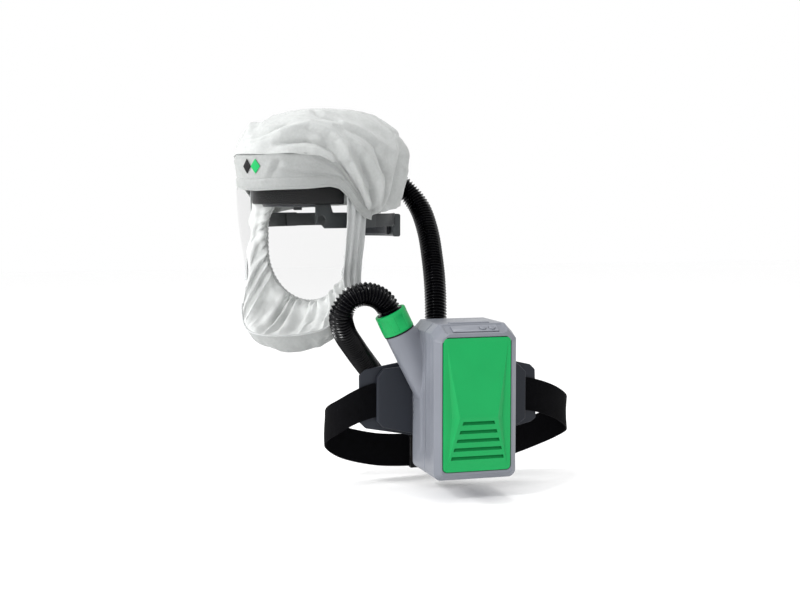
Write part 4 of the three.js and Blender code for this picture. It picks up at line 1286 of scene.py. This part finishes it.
def add_hood_trim(palette):
    edge = [tuple(opening_edge(i / 60) + np.array((-1.0, 0, 0))) for i in range(61)]
    edging = tube_along("face_elastic_edging", edge, 420, 2.3, palette["cloth"], ripple=0.5)
    finished(edging, "hood", "hood_cloth", "face_elastic")
    seam = [tuple(bib_edge(0.2 + 0.6 * i / 40)) for i in range(41)]
    finished(tube_along("chin_seam", seam, 160, 1.3, palette["strip"]), "hood", "hood_cloth")
    for number, (turn, look) in enumerate(BROW_MARKS):
        def lozenge(s, t, turn=turn):
            angle = 2 * math.pi * s
            reach = MARK_SIZE * (0.04 + 0.96 * t) / (abs(math.cos(angle)) + abs(math.sin(angle)))
            across = math.degrees(reach * math.cos(angle) / (CROWN_CENTRE + CROWN_LENGTH))
            return band_point(turn + across * 1.3, MARK_HEIGHT + reach * math.sin(angle), 0.7)
        mark = thick_sheet(f"brow_mark_{number}", lozenge, 48, 4, 0.6, palette[look], loop=True, place=HOOD)
        finished(mark, "hood", "black_plastic" if look == "black" else "green_shell")


# ---- headgear -----------------------------------------------------------------------
RING_CENTRE, RING_LENGTH, RING_WIDTH = 5.0, 130.0, 82.0


def ring_sweep(name, turn, extra, section, middle, material, steps=60):
    """A section of (outward, up) points carried from turn to turn round the headband's ellipse."""
    rings = []
    for i in range(steps + 1):
        angle = math.radians(turn[0] + (turn[1] - turn[0]) * i / steps)
        normal = Vector((math.cos(angle) / RING_LENGTH, math.sin(angle) / RING_WIDTH, 0)).normalized()
        base = Vector((RING_CENTRE + RING_LENGTH * math.cos(angle), RING_WIDTH * math.sin(angle), middle))
        rings.append([base + normal * (extra + out) + Vector((0, 0, up)) for out, up in section])
    return into_hood(loft(name, rings, material, sharp_angle=45))


def ratchet_boss(palette):
    """The round boss on the back of the ratchet housing that the knob turns on."""
    profile = ((-127, 12.6), (-131, 12.2), (-136, 12), (-137.2, 11.2), (-137.6, 9.8))
    rings = [circle(Vector((along, 0, -3)), Vector((0, 1, 0)), Vector((0, 0, 1)), radius, 48)
             for along, radius in profile]
    return into_hood(loft("ratchet_boss_ring", rings, palette["ratchet"]))


def add_headgear(palette):
    duct = ring_sweep("brow_duct_shell", (-62, 62), 4, rounded_rectangle(7, 13, 3.2), 47, palette["black"])
    finished(duct, "hood", "black_plastic", "brow_duct")
    pad = ring_sweep("brow_pad_foam", (-55, 55), -8, rounded_rectangle(3.4, 14, 3), 44, palette["foam"])
    finished(pad, "hood", "foam", "brow_pad")
    for side in ("left", "right"):
        dressed(f"side_arm_{side}", "hood", palette["band"], 0.7, 3, 50)
        dressed(f"band_{side}", "rear_band", palette["band"], 0.6, 2, 50)
    dressed("ratchet_knob", "knob", palette["black"], 0.6, 2, 35)
    shell = ring_sweep("ratchet_shell", (147, 213), 2, rounded_rectangle(6, 18, 3), 0, palette["ratchet"], 36)
    finished(shell, "rear_band", "ratchet_plastic", "ratchet_housing")
    finished(ratchet_boss(palette), "rear_band", "ratchet_plastic")
    section = rounded_rectangle(2.7, 15, 2.5)
    pad = ring_sweep("nape_pad_foam", (158, 202), -7.5, section, 0, palette["foam"], 24)
    finished(pad, "rear_band", "foam", "nape_pad")
    dressed("nape_strap", "rear_band", palette["band"], 0.5)


# ---- materials of the carried CAD nodes ---------------------------------------------
def dress_carried_nodes(palette):
    looks = {
        "black": ["filter_seat", "blower_scroll", "impeller", "overhead_duct", "hood_inlet"],
        "seal": ["outlet_seal", "filter_seal", "hose_cuff_unit", "hose_cuff_hood"],
        "paper": ["prefilter", "hepa_filter"],
        "board": ["circuit_board"],
        "band": ["crown_strap"],
        "steel": ["motor", "motor_shaft"] + [f"housing_screw_{i}" for i in range(1, 5)],
    }
    for look, nodes in looks.items():
        for node in nodes:
            for slot in frame["nodes"][node].material_slots:
                slot.material = palette[look]


add_camera()
add_studio()
palette = build_palette()
add_hose(palette)
for add_part in (add_front_housing, add_rear_housing, add_duct, add_filter_cover, add_top_panel, add_collar):
    add_part(palette)
add_belt("belt_left_web", BELT_LEFT, "belt_left", 3.1, palette)
add_belt("belt_right_web", BELT_RIGHT, "belt_right", 8.2, palette)
for add_part in (add_back, add_hood_cloth, add_hood_trim, add_headgear, dress_carried_nodes):
    add_part(palette)
